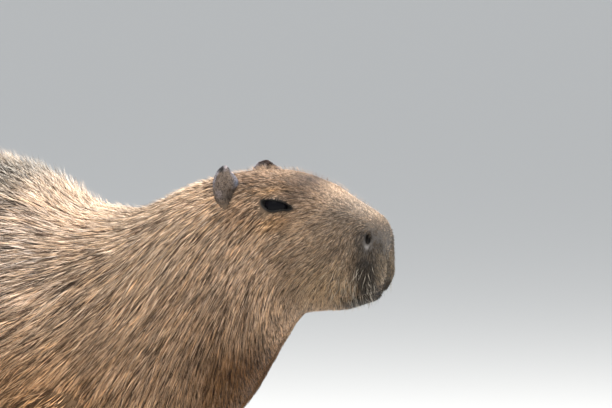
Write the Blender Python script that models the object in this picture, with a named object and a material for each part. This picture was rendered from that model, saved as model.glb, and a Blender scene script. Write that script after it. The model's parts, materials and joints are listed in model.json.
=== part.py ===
"""A standing capybara as a life-size still model, in metres: +X towards the nose, +Y to its left, +Z up.

Head, neck and torso are one loft of upright cross-sections, parted by thin plane cuts.
The cross-sections give the outline of the coat. The loft lies inside it by half the coat's
depth, and flat tapered locks, rooted in the loft, fill the rest out to the outline.
Legs and feet are lofts cut clear of the trunk. Ears, eyes, lids, nostrils and mouth are set
on the surface that the loft's own formula gives.
"""

import math
import random

import bmesh
import bpy
import numpy as np
from mathutils import Matrix, Vector

# Driving dimensions, in metres
BODY_LENGTH = 1.06
GAP = 0.0003
NOSE_X = 0.530
NOSE_ROUNDING = 0.012
NOSE_POWER = 3.0
NOSE_HEIGHT = 0.430
RUMP_ROUNDING = 0.130
RUMP_POWER = 2.2
RUMP_HEIGHT = 0.375
HEAD_SEGMENTS = 38
TRUNK_SEGMENTS = 30

# Upright cross-sections from nose to rump. Each row holds: distance behind the nose, top,
# bottom, half width, height of the widest place, and the powers that square off the
# upper and the lower half (2 is an ellipse).
SECTIONS = (
    (0.000, 0.4730, 0.3925, 0.0385, 0.430, 2.7, 2.6),
    (0.012, 0.4815, 0.3855, 0.0405, 0.430, 2.7, 2.6),
    (0.030, 0.4930, 0.3775, 0.0445, 0.428, 2.7, 2.5),
    (0.050, 0.5040, 0.3712, 0.0495, 0.427, 2.8, 2.5),
    (0.075, 0.5170, 0.3698, 0.0545, 0.429, 2.9, 2.4),
    (0.100, 0.5260, 0.3660, 0.0600, 0.433, 3.0, 2.4),
    (0.115, 0.5287, 0.3530, 0.0645, 0.434, 3.0, 2.3),
    (0.130, 0.5300, 0.3300, 0.0695, 0.430, 2.9, 2.2),
    (0.150, 0.5295, 0.2975, 0.0760, 0.420, 2.8, 2.2),
    (0.175, 0.5262, 0.2590, 0.0830, 0.406, 2.7, 2.2),
    (0.200, 0.5205, 0.2360, 0.0895, 0.393, 2.6, 2.2),
    (0.235, 0.5095, 0.2160, 0.0980, 0.378, 2.5, 2.2),
    (0.270, 0.4945, 0.2050, 0.1065, 0.364, 2.4, 2.2),
    (0.300, 0.4855, 0.2000, 0.1110, 0.354, 2.4, 2.2),
    (0.345, 0.4885, 0.1955, 0.1180, 0.348, 2.3, 2.2),
    (0.380, 0.5010, 0.1930, 0.1240, 0.344, 2.2, 2.2),
    (0.420, 0.5230, 0.1900, 0.1300, 0.341, 2.2, 2.2),
    (0.460, 0.5350, 0.1870, 0.1350, 0.338, 2.2, 2.3),
    (0.530, 0.5455, 0.1820, 0.1430, 0.334, 2.2, 2.4),
    (0.615, 0.5560, 0.1780, 0.1490, 0.332, 2.2, 2.5),
    (0.700, 0.5620, 0.1790, 0.1520, 0.334, 2.2, 2.5),
    (0.785, 0.5610, 0.1880, 0.1510, 0.338, 2.2, 2.4),
    (0.865, 0.5490, 0.2060, 0.1460, 0.346, 2.2, 2.3),
    (0.940, 0.5240, 0.2300, 0.1370, 0.356, 2.2, 2.2),
    (1.000, 0.4900, 0.2550, 0.1260, 0.366, 2.2, 2.2),
    (1.060, 0.4500, 0.2800, 0.1140, 0.375, 2.2, 2.2),
)

# The coat: how far the loft lies inside the outline, from where on the neck this begins to
# where it is full, and the size and spacing of the locks at both ends of that stretch.
CORE_SINK = 0.009
COAT_STARTS = 0.165
COAT_FULL = 0.400
LOCK_LENGTH = (0.088, 0.172)
LOCK_WIDTH = (0.033, 0.056)
LOCK_THICKNESS = (0.0040, 0.0062)
LOCK_ROOT_DEPTH = 0.0045
LOCK_BOW = 0.42
LOCK_ROW_STEP = (0.052, 0.088)
LOCK_SIDE_STEP = (0.040, 0.065)
LOCK_SWING = 0.45
FIRST_LOCK_ROW = 0.186
LAST_LOCK_ROW = 0.985
UPRIGHT_ROWS_FROM = 0.460
BELLY_HALF_ANGLE = 44.0

# Swellings of the flesh on both sides: distance behind the nose, height, how far the surface
# is pushed out sideways, reach along the body, reach up and down.
SWELLINGS = (
    (0.045, 0.415, 0.0045, 0.022, 0.022),
    (0.118, 0.512, 0.0030, 0.022, 0.010),
    (0.088, 0.482, -0.0040, 0.018, 0.016),
    (0.165, 0.425, 0.0060, 0.035, 0.035),
    (0.395, 0.310, 0.0090, 0.060, 0.090),
    (0.905, 0.330, 0.0130, 0.085, 0.110),
)

# Eye, ear, nostril and mouth, placed by distance behind the nose, side and height
EYE_BEHIND = 0.1150
EYE_HEIGHT = 0.4910
EYE_RADIUS = 0.0145
EYE_SINK = 0.0112
LID_THICKNESS = 0.0022
EYE_OPENING_LENGTH = 0.0310
EYE_OPENING_HEIGHT = 0.0125
EYE_OPENING_TILT = 14.0
EAR_BEHIND = 0.1700
EAR_SIDE = 0.0655
EAR_BASE_HEIGHT = 0.4945
EAR_LENGTH = 0.0425
EAR_ROOT_SHARE = 0.36
# An ear's outline: share of its height, reach of its front edge and of its back edge.
EAR_SHAPE = (
    (0.00, 0.0080, 0.0130),
    (0.30, 0.0096, 0.0148),
    (0.52, 0.0144, 0.0144),
    (0.68, 0.0120, 0.0120),
    (0.82, 0.0074, 0.0094),
    (0.93, 0.0042, 0.0056),
    (1.00, 0.0020, 0.0022),
)
EAR_THICKNESS = 0.0050
EAR_CUP = 0.0100
EAR_FACING = 80.0
NOSTRIL_BEHIND = 0.0092
NOSTRIL_HEIGHT = 0.4560
NOSTRIL_TALL = 0.0072
NOSTRIL_WIDE = 0.0027
NOSTRIL_DEPTH = 0.0080
MOUTH_HEIGHT = 0.3915
MOUTH_CORNER_BEHIND = 0.046
MOUTH_GROOVE_RADIUS = 0.0017
PHILTRUM_TOP = 0.440

# Plane cuts between nodes: a point on the midline plane as distance behind the nose and
# height, and the lean of the cut back from upright in degrees.
HEAD_CUT = (0.170, 0.4370, 42.0)
NECK_CUT = (0.340, 0.3700, 12.0)


def smooth_through(places, values, where):
    """Cubic through the given values that never overshoots them (monotone Hermite slopes)."""
    places, values = np.asarray(places, float), np.asarray(values, float)
    step = np.diff(places)
    rise = np.diff(values) / step
    slope = np.zeros_like(values)
    slope[0], slope[-1] = rise[0], rise[-1]
    same = rise[:-1] * rise[1:] > 0
    before, after = 2 * step[1:] + step[:-1], step[1:] + 2 * step[:-1]
    both = before + after
    with np.errstate(divide="ignore", invalid="ignore"):
        mean = both / (before / rise[:-1] + after / rise[1:])
    slope[1:-1] = np.where(same, mean, 0.0)
    where = np.clip(where, places[0], places[-1])
    i = np.clip(np.searchsorted(places, where) - 1, 0, len(step) - 1)
    t = (where - places[i]) / step[i]
    return (
        (2 * t**3 - 3 * t**2 + 1) * values[i]
        + (t**3 - 2 * t**2 + t) * step[i] * slope[i]
        + (3 * t**2 - 2 * t**3) * values[i + 1]
        + (t**3 - t**2) * step[i] * slope[i + 1]
    )


def rounding(distance, depth, power):
    """0 at the very end, 1 once depth is passed: a superellipse quarter that closes a loft."""
    t = np.clip(distance / depth, 0.0, 1.0)
    return (1 - (1 - t) ** power) ** (1 / power)


def coat_share(behind):
    """0 on the short-haired head, rising smoothly to 1 on the long-haired trunk."""
    t = np.clip((behind - COAT_STARTS) / (COAT_FULL - COAT_STARTS), 0.0, 1.0)
    return t * t * (3 - 2 * t)


def section_at(behind, sink=0.0):
    """Top, bottom, half width, widest height and both powers, at a distance behind the nose."""
    columns = np.array(SECTIONS).T
    top, bottom, half, widest, upper, lower = (
        smooth_through(columns[0], column, behind) for column in columns[1:]
    )
    depth = sink * coat_share(behind)
    top, bottom, half = top - depth, bottom + depth, half - depth
    nose = rounding(behind, NOSE_ROUNDING, NOSE_POWER)
    rump = rounding(BODY_LENGTH - sink - behind, RUMP_ROUNDING, RUMP_POWER)
    for share, height in ((nose, NOSE_HEIGHT), (rump, RUMP_HEIGHT)):
        top = height + (top - height) * share
        bottom = height + (bottom - height) * share
        widest = height + (widest - height) * share
        half = half * share
    return top, bottom, half, widest, upper, lower


def swelling_at(behind, height):
    """How far the flanks are pushed out at a place, the sum of bell-shaped swellings."""
    total = 0.0
    for place, level, push, along, up in SWELLINGS:
        total = total + push * np.exp(
            -(((behind - place) / along) ** 2) - ((height - level) / up) ** 2
        )
    return total


def body_point(behind, angle, sink=CORE_SINK):
    """Point on the loft: angle 0 is the left flank, a quarter turn the back."""
    top, bottom, half, widest, upper, lower = section_at(behind, sink)
    c, s = np.cos(angle), np.sin(angle)
    power = np.where(s >= 0, upper, lower)
    reach = np.where(s >= 0, top - widest, widest - bottom)
    side = np.sign(c) * np.abs(c) ** (2 / power)
    z = widest + np.sign(s) * reach * np.abs(s) ** (2 / power)
    share = np.minimum(rounding(behind, 0.03, 2.0), rounding(BODY_LENGTH - behind, 0.08, 2.0))
    y = side * (half + swelling_at(behind, z) * share)
    return np.stack([NOSE_X - behind + 0 * z, y, z], axis=-1)


def outline_half_width(behind, height):
    """Half width of the body at a height, from the section's superellipse."""
    top, bottom, half, widest, upper, lower = section_at(behind)
    above = height >= widest
    power = upper if above else lower
    reach = top - widest if above else widest - bottom
    share = min(abs(height - widest) / reach, 1.0)
    side = (1 - share**power) ** (1 / power)
    return float(side * (half + swelling_at(behind, height)))


def mesh_object(name, points, faces):
    """A mesh object from points and faces, with every face turned outwards and split in triangles."""
    mesh = bpy.data.meshes.new(name)
    mesh.from_pydata([tuple(p) for p in points], [], [tuple(f) for f in faces])
    scratch = bmesh.new()
    scratch.from_mesh(mesh)
    bmesh.ops.remove_doubles(scratch, verts=scratch.verts, dist=1e-6)
    bmesh.ops.recalc_face_normals(scratch, faces=scratch.faces)
    bmesh.ops.triangulate(scratch, faces=scratch.faces)
    scratch.to_mesh(mesh)
    scratch.free()
    return bpy.data.objects.new(name, mesh)


def loft(name, rings, tip=None, slanted=False):
    """A closed body through rings of points, each with the same count, its ends closed by fans.

    Slanted ones have the diagonals of their sides all the same way, so that two lofts of one
    shape in two sizes lie inside one another.
    """
    rings = np.asarray(rings)
    rows, count, _ = rings.shape
    ends = [rings[0].mean(axis=0), rings[-1].mean(axis=0) if tip is None else tip]
    points = np.concatenate([rings.reshape(-1, 3), ends])
    faces = []
    for row in range(rows - 1):
        for k in range(count):
            n = (k + 1) % count
            near, far, ahead = row * count + k, row * count + n, count
            if slanted:
                faces += [(near, far, far + ahead), (near, far + ahead, near + ahead)]
            else:
                faces.append((near, far, far + ahead, near + ahead))
    first, last = rows * count, rows * count + 1
    for k in range(count):
        n = (k + 1) % count
        faces.append((first, n, k))
        faces.append((last, (rows - 1) * count + k, (rows - 1) * count + n))
    return mesh_object(name, points, faces)


def into(collection, obj):
    """Links an object to a collection, unless it is there already."""
    if obj.name not in collection.objects:
        collection.objects.link(obj)
    return obj


def bake(obj):
    """Applies every modifier and the object's place to its mesh."""
    graph = bpy.context.evaluated_depsgraph_get()
    mesh = bpy.data.meshes.new_from_object(obj.evaluated_get(graph), depsgraph=graph)
    mesh.transform(obj.matrix_world)
    obj.modifiers.clear()
    obj.data = mesh
    obj.matrix_world = Matrix.Identity(4)
    return obj


def boolean(obj, operation, others, solver="EXACT"):
    """Joins or cuts obj with each closed mesh object in others, which are then removed."""
    tools = bpy.data.collections.new("tools")
    bpy.context.scene.collection.children.link(tools)
    for other in others:
        for holder in list(other.users_collection):
            holder.objects.unlink(other)
        tools.objects.link(other)
    modifier = obj.modifiers.new(operation.lower(), "BOOLEAN")
    modifier.operation = operation
    modifier.operand_type = "COLLECTION"
    modifier.collection = tools
    modifier.solver = solver
    bpy.context.view_layer.update()
    bake(obj)
    for other in list(tools.objects):
        bpy.data.objects.remove(other)
    bpy.data.collections.remove(tools)
    return obj


def keep_largest(obj):
    """Leaves only the closed surface with the largest volume and drops loose scraps."""
    mesh = bmesh.new()
    mesh.from_mesh(obj.data)
    left = set(mesh.faces)
    shells = []
    while left:
        shell, edge = set(), [left.pop()]
        while edge:
            face = edge.pop()
            shell.add(face)
            for link in (f for e in face.edges for f in e.link_faces):
                if link in left:
                    left.discard(link)
                    edge.append(link)
        volume = sum(f.calc_center_median().dot(f.normal) * f.calc_area() for f in shell)
        shells.append((volume, shell))
    best = max(shells, key=lambda pair: pair[0])[1]
    bmesh.ops.delete(mesh, geom=[f for f in mesh.faces if f not in best], context="FACES")
    mesh.to_mesh(obj.data)
    mesh.free()
    return obj


def cut_plane(cut):
    """A point on the cut and its direction towards the nose."""
    behind, height, lean = cut
    lean = math.radians(lean)
    return Vector((NOSE_X - behind, 0, height)), Vector((math.cos(lean), 0, math.sin(lean)))


def trim(obj, point, normal):
    """Cuts away what lies on the far side of a plane, and closes the cut with a flat face."""
    mesh = bmesh.new()
    mesh.from_mesh(obj.data)
    cut = bmesh.ops.bisect_plane(
        mesh,
        geom=mesh.verts[:] + mesh.edges[:] + mesh.faces[:],
        dist=1e-7,
        plane_co=point,
        plane_no=normal,
        clear_outer=True,
    )
    rim = [e for e in cut["geom_cut"] if isinstance(e, bmesh.types.BMEdge)]
    bmesh.ops.holes_fill(mesh, edges=rim, sides=0)
    bmesh.ops.recalc_face_normals(mesh, faces=mesh.faces)
    mesh.to_mesh(obj.data)
    mesh.free()
    return obj


def segment(name, source, front=None, rear=None):
    """A copy of source between two cuts, held half the gap clear of each."""
    obj = bpy.data.objects.new(name, source.data.copy())
    if front:
        point, ahead = cut_plane(front)
        trim(obj, point - ahead * GAP / 2, ahead)
    if rear:
        point, ahead = cut_plane(rear)
        trim(obj, point + ahead * GAP / 2, -ahead)
    return obj


def material(name, colour, roughness):
    made = bpy.data.materials.new(name)
    made.use_nodes = True
    shader = made.node_tree.nodes["Principled BSDF"]
    shader.inputs["Base Color"].default_value = (*colour, 1)
    shader.inputs["Roughness"].default_value = roughness
    shader.inputs["Metallic"].default_value = 0.0
    return made


def finish(obj, collection, look):
    """Puts a finished node in the model's collection, shaded smooth with its own material."""
    obj.data.materials.clear()
    obj.data.materials.append(look)
    for holder in list(obj.users_collection):
        holder.objects.unlink(obj)
    into(collection, obj)
    obj.data.shade_smooth()
    obj.data.set_sharp_from_angle(angle=math.radians(50))
    return obj


def ellipsoid(name, centre, radii, turn=None, segments=20, rings=12):
    mesh = bpy.data.meshes.new(name)
    scratch = bmesh.new()
    bmesh.ops.create_uvsphere(scratch, u_segments=segments, v_segments=rings, radius=1.0)
    scratch.to_mesh(mesh)
    scratch.free()
    obj = bpy.data.objects.new(name, mesh)
    turn = turn.to_4x4() if turn else Matrix.Identity(4)
    mesh.transform(Matrix.Translation(centre) @ turn @ Matrix.Diagonal((*radii, 1)))
    return obj


def tube(name, points, radii, sides=8):
    """A closed tube along points, with its own radius at each, made from rings."""
    points = [Vector(p) for p in points]
    rings = []
    for i, point in enumerate(points):
        ahead = (points[min(i + 1, len(points) - 1)] - points[max(i - 1, 0)]).normalized()
        across = ahead.cross(Vector((0, 0, 1)))
        across = across.normalized() if across.length > 1e-4 else Vector((0, 1, 0))
        up = across.cross(ahead)
        turns = [2 * math.pi * k / sides for k in range(sides)]
        rings.append([point + radii[i] * (math.cos(a) * across + math.sin(a) * up) for a in turns])
    return loft(name, rings)


def body_loft(name, stations, segments):
    """A closed loft through the body's cross-sections at the given distances behind the nose."""
    angles = np.linspace(0, 2 * math.pi, segments, endpoint=False)
    return loft(name, [body_point(np.full_like(angles, station), angles) for station in stations])


def head_loft():
    """Nose to neck, with stations crowded together at the blunt muzzle."""
    nose = NOSE_ROUNDING * (1 - np.cos(np.linspace(0.12, 1.0, 8) * math.pi / 2)) * 1.6
    face = np.linspace(nose[-1], 0.250, 28)[1:]
    return body_loft("head_loft", np.concatenate([nose, face]), HEAD_SEGMENTS)


def trunk_loft():
    """From inside the head back to the round end of the rump."""
    back = np.linspace(0.060, BODY_LENGTH - RUMP_ROUNDING, 32)
    ends = np.linspace(0.0, 1.0, 7)[1:] * math.pi / 2 * 0.96
    rump = BODY_LENGTH - CORE_SINK - RUMP_ROUNDING * (1 - np.sin(ends))
    return body_loft("trunk_loft", np.concatenate([back, rump]), TRUNK_SEGMENTS)


def side_point(behind, height, side, sink=0.0):
    """Point on the flank at a height, sunk inwards by some depth."""
    return Vector((NOSE_X - behind, side * (outline_half_width(behind, height) - sink), height))


def eye_axis(side):
    """The way an eye looks: out sideways, a little forward and up."""
    return Vector((0.34, side * 0.93, 0.12)).normalized()


def opening_prism(name, centre, axis):
    """Almond that cuts the gap between the lids, with pointed corners."""
    along = Vector((0, 0, 1)).cross(axis).normalized()
    if along.x < 0:
        along = -along
    up = axis.cross(along).normalized()
    if up.z < 0:
        up = -up
    tilt = math.radians(-EYE_OPENING_TILT)
    ahead = math.cos(tilt) * along + math.sin(tilt) * up
    over = math.cos(tilt) * up - math.sin(tilt) * along
    rows = []
    for depth in (EYE_RADIUS * 0.45, EYE_RADIUS * 2.2):
        ring = []
        for k in range(20):
            turn = 2 * math.pi * k / 20
            x = math.cos(turn) * EYE_OPENING_LENGTH / 2
            lift = 0.34 if math.sin(turn) > 0 else 0.66
            y = math.copysign(abs(math.sin(turn)) ** 1.3, math.sin(turn)) * lift * EYE_OPENING_HEIGHT
            ring.append(centre + ahead * x + over * y + axis * depth)
        rows.append(ring)
    return loft(name, rows)


def nostril_cutter(side):
    place = side_point(NOSTRIL_BEHIND, NOSTRIL_HEIGHT, side)
    turn = Matrix.Rotation(math.radians(side * 22), 3, "X") @ Matrix.Rotation(math.radians(-side * 35), 3, "Z")
    return ellipsoid("nostril", place, (NOSTRIL_WIDE, NOSTRIL_DEPTH, NOSTRIL_TALL), turn, 12, 8)


def mouth_path():
    """Points round the muzzle at the height where the lips meet, from corner to corner."""
    centre = NOSE_X - MOUTH_CORNER_BEHIND
    points = []
    for turn in np.radians(np.linspace(-90, 90, 25)):
        ahead, across = math.cos(turn), math.sin(turn)
        near, far = 0.0, 0.08
        droop = 0.004 * abs(across) ** 3
        height = MOUTH_HEIGHT - droop
        for _ in range(30):
            reach = (near + far) / 2
            behind = NOSE_X - (centre + reach * ahead)
            inside = behind > 1e-4 and abs(reach * across) < outline_half_width(behind, height)
            near, far = (reach, far) if inside else (near, reach)
        points.append(Vector((centre + near * ahead, near * across, height)))
    return points


def philtrum_path():
    """Points down the middle of the muzzle's front, from between the nostrils to the mouth."""
    points = []
    for height in np.linspace(PHILTRUM_TOP, MOUTH_HEIGHT, 7):
        near, far = 0.0, 0.03
        for _ in range(30):
            behind = (near + far) / 2
            top, bottom = section_at(behind)[:2]
            near, far = (near, behind) if bottom < height < top else (behind, far)
        points.append(Vector((NOSE_X - far, 0, height)))
    return points


def head_with_features(source, tools):
    """The head, with bulging lids round sunk sockets, nostrils, the mouth and the split lip."""
    head = into(tools, segment("head", source, rear=HEAD_CUT))
    lids, cutters = [], []
    for side in (-1, 1):
        axis = eye_axis(side)
        centre = side_point(EYE_BEHIND, EYE_HEIGHT, side, EYE_SINK)
        lid_radius = EYE_RADIUS + LID_THICKNESS
        lids.append(ellipsoid("lid", centre, (lid_radius * 1.12, lid_radius, lid_radius), None, 20, 12))
        cutters.append(ellipsoid("socket", centre, [EYE_RADIUS + GAP] * 3, None, 18, 10))
        cutters.append(opening_prism("opening", centre, axis))
        cutters.append(nostril_cutter(side))
    cutters.append(tube("mouth", mouth_path(), [MOUTH_GROOVE_RADIUS] * 25, 6))
    cutters.append(tube("philtrum", philtrum_path(), [MOUTH_GROOVE_RADIUS * 0.9] * 7, 6))
    boolean(head, "UNION", lids)
    boolean(head, "DIFFERENCE", cutters)
    return keep_largest(head)


def eyeball(side):
    centre = side_point(EYE_BEHIND, EYE_HEIGHT, side, EYE_SINK)
    name = "eye_left" if side > 0 else "eye_right"
    return ellipsoid(name, centre, [EYE_RADIUS] * 3, None, 18, 10)


def ear_shape(name, side):
    """A small blunt-tipped leaf, cupped towards the outside, its front rim rolled over."""
    base = Vector((NOSE_X - EAR_BEHIND, side * EAR_SIDE, EAR_BASE_HEIGHT))
    up = Vector((0.04, side * 0.10, 1.0)).normalized()
    turn = math.radians(EAR_FACING)
    face = Vector((math.cos(turn), side * math.sin(turn), 0.0))
    ahead = up.cross(face).normalized() * -side
    face = ahead.cross(up).normalized() * side
    shares, fronts, backs = np.array(EAR_SHAPE).T
    rows = []
    for t in np.linspace(-EAR_ROOT_SHARE, 1.0, 12):
        rise = max(t, 0.0)
        narrower = 1 + 0.5 * min(t, 0.0)
        front = smooth_through(shares, fronts, rise) * narrower
        back = smooth_through(shares, backs, rise) * narrower
        cup = EAR_CUP * (1 - 0.45 * rise)
        thick = EAR_THICKNESS * (1.2 - 0.7 * rise)
        ring = []
        for k in range(14):
            a = 2 * math.pi * k / 14
            across = math.cos(a)
            x = across * (front if across > 0 else back) + 0.001 - 0.003 * rise
            bow = cup * (across**2 - 0.5) + (0.0060 * max(across - 0.35, 0.0) if rise > 0 else 0.0)
            point = base + up * (t * EAR_LENGTH) + ahead * x + face * (bow + math.sin(a) * thick / 2)
            ring.append(point)
        rows.append(ring)
    return loft(name, rows)


# Legs, as rings along a path: distance behind the nose, out from the midline, height, half
# length along the body, half width across it.
FORELEG = (
    (0.385, 0.064, 0.330, 0.060, 0.034),
    (0.388, 0.076, 0.290, 0.068, 0.040),
    (0.392, 0.083, 0.240, 0.064, 0.044),
    (0.398, 0.086, 0.195, 0.050, 0.041),
    (0.396, 0.087, 0.150, 0.038, 0.032),
    (0.390, 0.086, 0.105, 0.030, 0.027),
    (0.384, 0.086, 0.070, 0.027, 0.026),
    (0.378, 0.086, 0.042, 0.030, 0.030),
    (0.374, 0.086, 0.026, 0.033, 0.033),
)
HINDLEG = (
    (0.905, 0.072, 0.370, 0.080, 0.036),
    (0.904, 0.086, 0.325, 0.094, 0.044),
    (0.905, 0.097, 0.280, 0.096, 0.050),
    (0.910, 0.102, 0.235, 0.084, 0.049),
    (0.924, 0.102, 0.192, 0.064, 0.041),
    (0.948, 0.101, 0.155, 0.046, 0.034),
    (0.966, 0.100, 0.122, 0.034, 0.028),
    (0.972, 0.100, 0.092, 0.028, 0.025),
    (0.962, 0.100, 0.062, 0.028, 0.026),
    (0.946, 0.100, 0.040, 0.032, 0.030),
    (0.940, 0.100, 0.026, 0.036, 0.032),
)
LEG_SIDES = 14
LEG_RINGS = 13
FORE_WRIST = 0.066
HIND_ANKLE = 0.084
# Feet: palm centre ahead of the last ring, and its half length, half width and half height
FORE_PALM = (0.012, 0.036, 0.035, 0.023)
HIND_PALM = (0.022, 0.052, 0.034, 0.024)
# Toes: how far out from the foot's middle line, reach ahead, turn outwards in degrees
FORE_TOES = ((-0.031, 0.040, -26), (-0.012, 0.056, -8), (0.012, 0.057, 8), (0.030, 0.042, 26))
HIND_TOES = ((-0.030, 0.070, -18), (0.000, 0.086, 0), (0.030, 0.070, 18))
TOE_RADIUS = 0.0120
TOE_TIP_RADIUS = 0.0078
TOE_TIP_HEIGHT = 0.0100
CLAW_LENGTH = 0.020
CLAW_RADII = (0.0068, 0.0058, 0.0042, 0.0016)
TAIL_RADII = (0.0135, 0.0105, 0.0125)
TAIL_HEIGHT = 0.420


def leg_rings(table, side):
    """Rings of a leg, level, spread evenly along the path that the table gives."""
    columns = np.array(table).T
    steps = np.arange(columns.shape[1])
    turns = np.linspace(0, 2 * math.pi, LEG_SIDES, endpoint=False)
    rows = []
    for step in np.linspace(0, steps[-1], LEG_RINGS):
        behind, out, height, along, across = (smooth_through(steps, c, step) for c in columns)
        x = NOSE_X - behind + along * np.cos(turns)
        y = side * out + across * np.sin(turns)
        rows.append(np.stack([x, y, np.full_like(x, height)], axis=-1))
    return rows


def clear_of(obj, neighbours, holder):
    """Cuts obj clear of its neighbours by the gap."""
    into(holder, obj)
    cutters = [into(holder, grown(other, GAP)) for other in neighbours]
    boolean(obj, "DIFFERENCE", cutters)
    return keep_largest(obj)


def leg(name, table, side, cut_height, trunk, holder):
    """A leg down to the wrist or ankle, cut clear of the trunk by the gap."""
    obj = loft(name, leg_rings(table, side))
    trim(obj, Vector((0, 0, cut_height + GAP / 2)), Vector((0, 0, -1)))
    return clear_of(obj, [trunk], holder)


def toe_points(centre, side, toe):
    """Root, knuckle and tip of a toe, and the way its last joint points."""
    offset, reach, turn = toe
    ahead = Matrix.Rotation(math.radians(side * turn), 3, "Z") @ Vector((1, 0, 0))
    middle = centre + Vector((0, side * offset * 0.55, 0))
    root = middle + Vector((0.002, 0, 0.022))
    knuckle = middle + ahead * reach * 0.60 + Vector((0, 0, 0.0175))
    tip = middle + ahead * reach + Vector((0, 0, TOE_TIP_HEIGHT))
    return root, knuckle, tip, (tip - knuckle).normalized()


def foot_centre(table, side):
    return Vector((NOSE_X - table[-1][0], side * table[-1][1], 0))


def foot(name, table, side, cut_height, toes, palm, holder):
    """A foot below the wrist or ankle: palm and toes fused, flat underneath."""
    obj = into(holder, loft(name, leg_rings(table, side)))
    trim(obj, Vector((0, 0, cut_height - GAP / 2)), Vector((0, 0, 1)))
    centre = foot_centre(table, side)
    ahead, length, width, height = palm
    pieces = [ellipsoid("palm", centre + Vector((ahead, 0, 0.017)), (length, width, height), None, 14, 8)]
    for toe in toes:
        root, knuckle, tip, _ = toe_points(centre, side, toe)
        radii = [TOE_RADIUS * 1.1, TOE_RADIUS, TOE_TIP_RADIUS]
        pieces.append(tube("toe", [root, knuckle, tip], radii, 8))
    boolean(obj, "UNION", pieces)
    trim(obj, Vector((0, 0, 0)), Vector((0, 0, -1)))
    return keep_largest(obj)


def claw(name, table, side, toe):
    """A blunt claw that goes on from the flat end of its toe and bends down a little."""
    _, _, tip, ahead = toe_points(foot_centre(table, side), side, toe)
    down = Vector((0, 0, -1))
    points = [tip + ahead * (GAP + share * CLAW_LENGTH) for share in (0.0, 0.3, 0.7, 1.0)]
    for point, share in zip(points, (0.0, 0.3, 0.7, 1.0)):
        point += Vector((0, 0, 1)) * (0.35 * CLAW_LENGTH * share) + down * (0.30 * CLAW_LENGTH * share**2)
    points[1] = points[0] + ahead * 0.3 * CLAW_LENGTH
    return tube(name, points, CLAW_RADII, 6)


def grown(source, amount):
    """A copy of a closed body with its surface moved out along its normals."""
    obj = bpy.data.objects.new("grown", source.data.copy())
    normals = [Vector(v.normal) for v in obj.data.vertices]
    for vertex, normal in zip(obj.data.vertices, normals):
        vertex.co += normal * amount
    return obj


def surface_frame(behind, angle):
    """Point on the loft, its outward normal, and the two steps: backwards and round the body."""
    step = 1e-4
    point = body_point(behind, angle)
    back = (body_point(behind + step, angle) - body_point(behind - step, angle)) / (2 * step)
    round_it = (body_point(behind, angle + step) - body_point(behind, angle - step)) / (2 * step)
    normal = np.cross(round_it, back)
    return point, normal / np.linalg.norm(normal), np.linalg.norm(back), np.linalg.norm(round_it)


def lie_pitch(behind, angle):
    """How steeply the coat runs down the flank, in radians: level on the back, steep at the throat."""
    steep = np.interp(behind, (0.17, 0.25, 0.34, 0.48, 0.80, 1.00), (62, 52, 38, 24, 26, 40))
    flank = np.clip((1 - math.sin(angle)) / 0.55, 0.0, 1.0)
    return math.radians(steep) * flank**0.8


def coat_path(behind, angle, length, swing, steps=8):
    """Places along the coat's lie from a root: at each, its distance behind the nose and angle."""
    side = 1 if math.cos(angle) >= 0 else -1
    places = [(behind, angle)]
    for i in range(steps):
        _, _, stretch_back, stretch_round = surface_frame(behind, angle)
        pitch = lie_pitch(behind, angle) + swing * (i / steps - 0.3)
        stride = length / steps
        behind = behind + stride * math.cos(pitch) / stretch_back
        behind = min(behind, BODY_LENGTH - CORE_SINK - 0.002)
        angle = angle - side * stride * math.sin(pitch) / stretch_round
        places.append((behind, angle))
    return places


def near_a_leg(point, margin=0.002):
    """Whether a point lies inside a leg's outline, grown by a margin."""
    for table in (FORELEG, HINDLEG):
        columns = np.array(table).T
        height = columns[2][::-1]
        behind, out, along, across = (np.interp(point[2], height, columns[k][::-1]) for k in (0, 1, 3, 4))
        if point[2] > height[-1] + margin:
            continue
        x = (NOSE_X - behind - point[0]) / (along + margin)
        y = (abs(point[1]) - out) / (across + margin)
        if x * x + y * y < 1:
            return True
    return False


def lock_rings(behind, angle, size, swing, margin=0.0):
    """Rings and tip of a flat, tapered lock that leaves the loft and bends along the coat's lie.

    Each ring has a flat underside and a ridge. Its height over the loft is
    -root + (root + lift) * share^bow.
    """
    length, width, thickness, lift = size
    places = coat_path(behind, angle, length, swing)
    spots = []
    for step in (0, 2, 5, 8):
        point, normal, _, _ = surface_frame(*places[step])
        height = (LOCK_ROOT_DEPTH + lift) * (step / 8) ** LOCK_BOW - LOCK_ROOT_DEPTH
        spots.append((Vector(point) + Vector(normal) * height, Vector(normal)))
    rings = []
    for i, (wide, thick) in enumerate(((0.40, 0.90), (1.00, 1.00), (0.66, 0.90))):
        spot, normal = spots[i]
        ahead = (spots[i + 1][0] - spots[max(i - 1, 0)][0]).normalized()
        beside = margin * (1 + width * wide / (thickness * thick))
        across = ahead.cross(normal).normalized() * (width / 2 * wide + beside)
        under = spot - normal * margin
        rings.append([under + across, spot + normal * (thickness * thick + margin), under - across])
    last = spots[3][0] - spots[2][0]
    tip = spots[3][0] + last.normalized() * margin * (1 + 2 * last.length / thickness)
    return rings, tip


def head_cut_behind(angle):
    """Distance behind the nose at which the cut behind the head meets the loft at an angle."""
    near, far = 0.0, 0.35
    for _ in range(24):
        behind = (near + far) / 2
        near, far = (behind, far) if distance_ahead(body_point(behind, angle), HEAD_CUT) > 0 else (near, behind)
    return near


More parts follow.
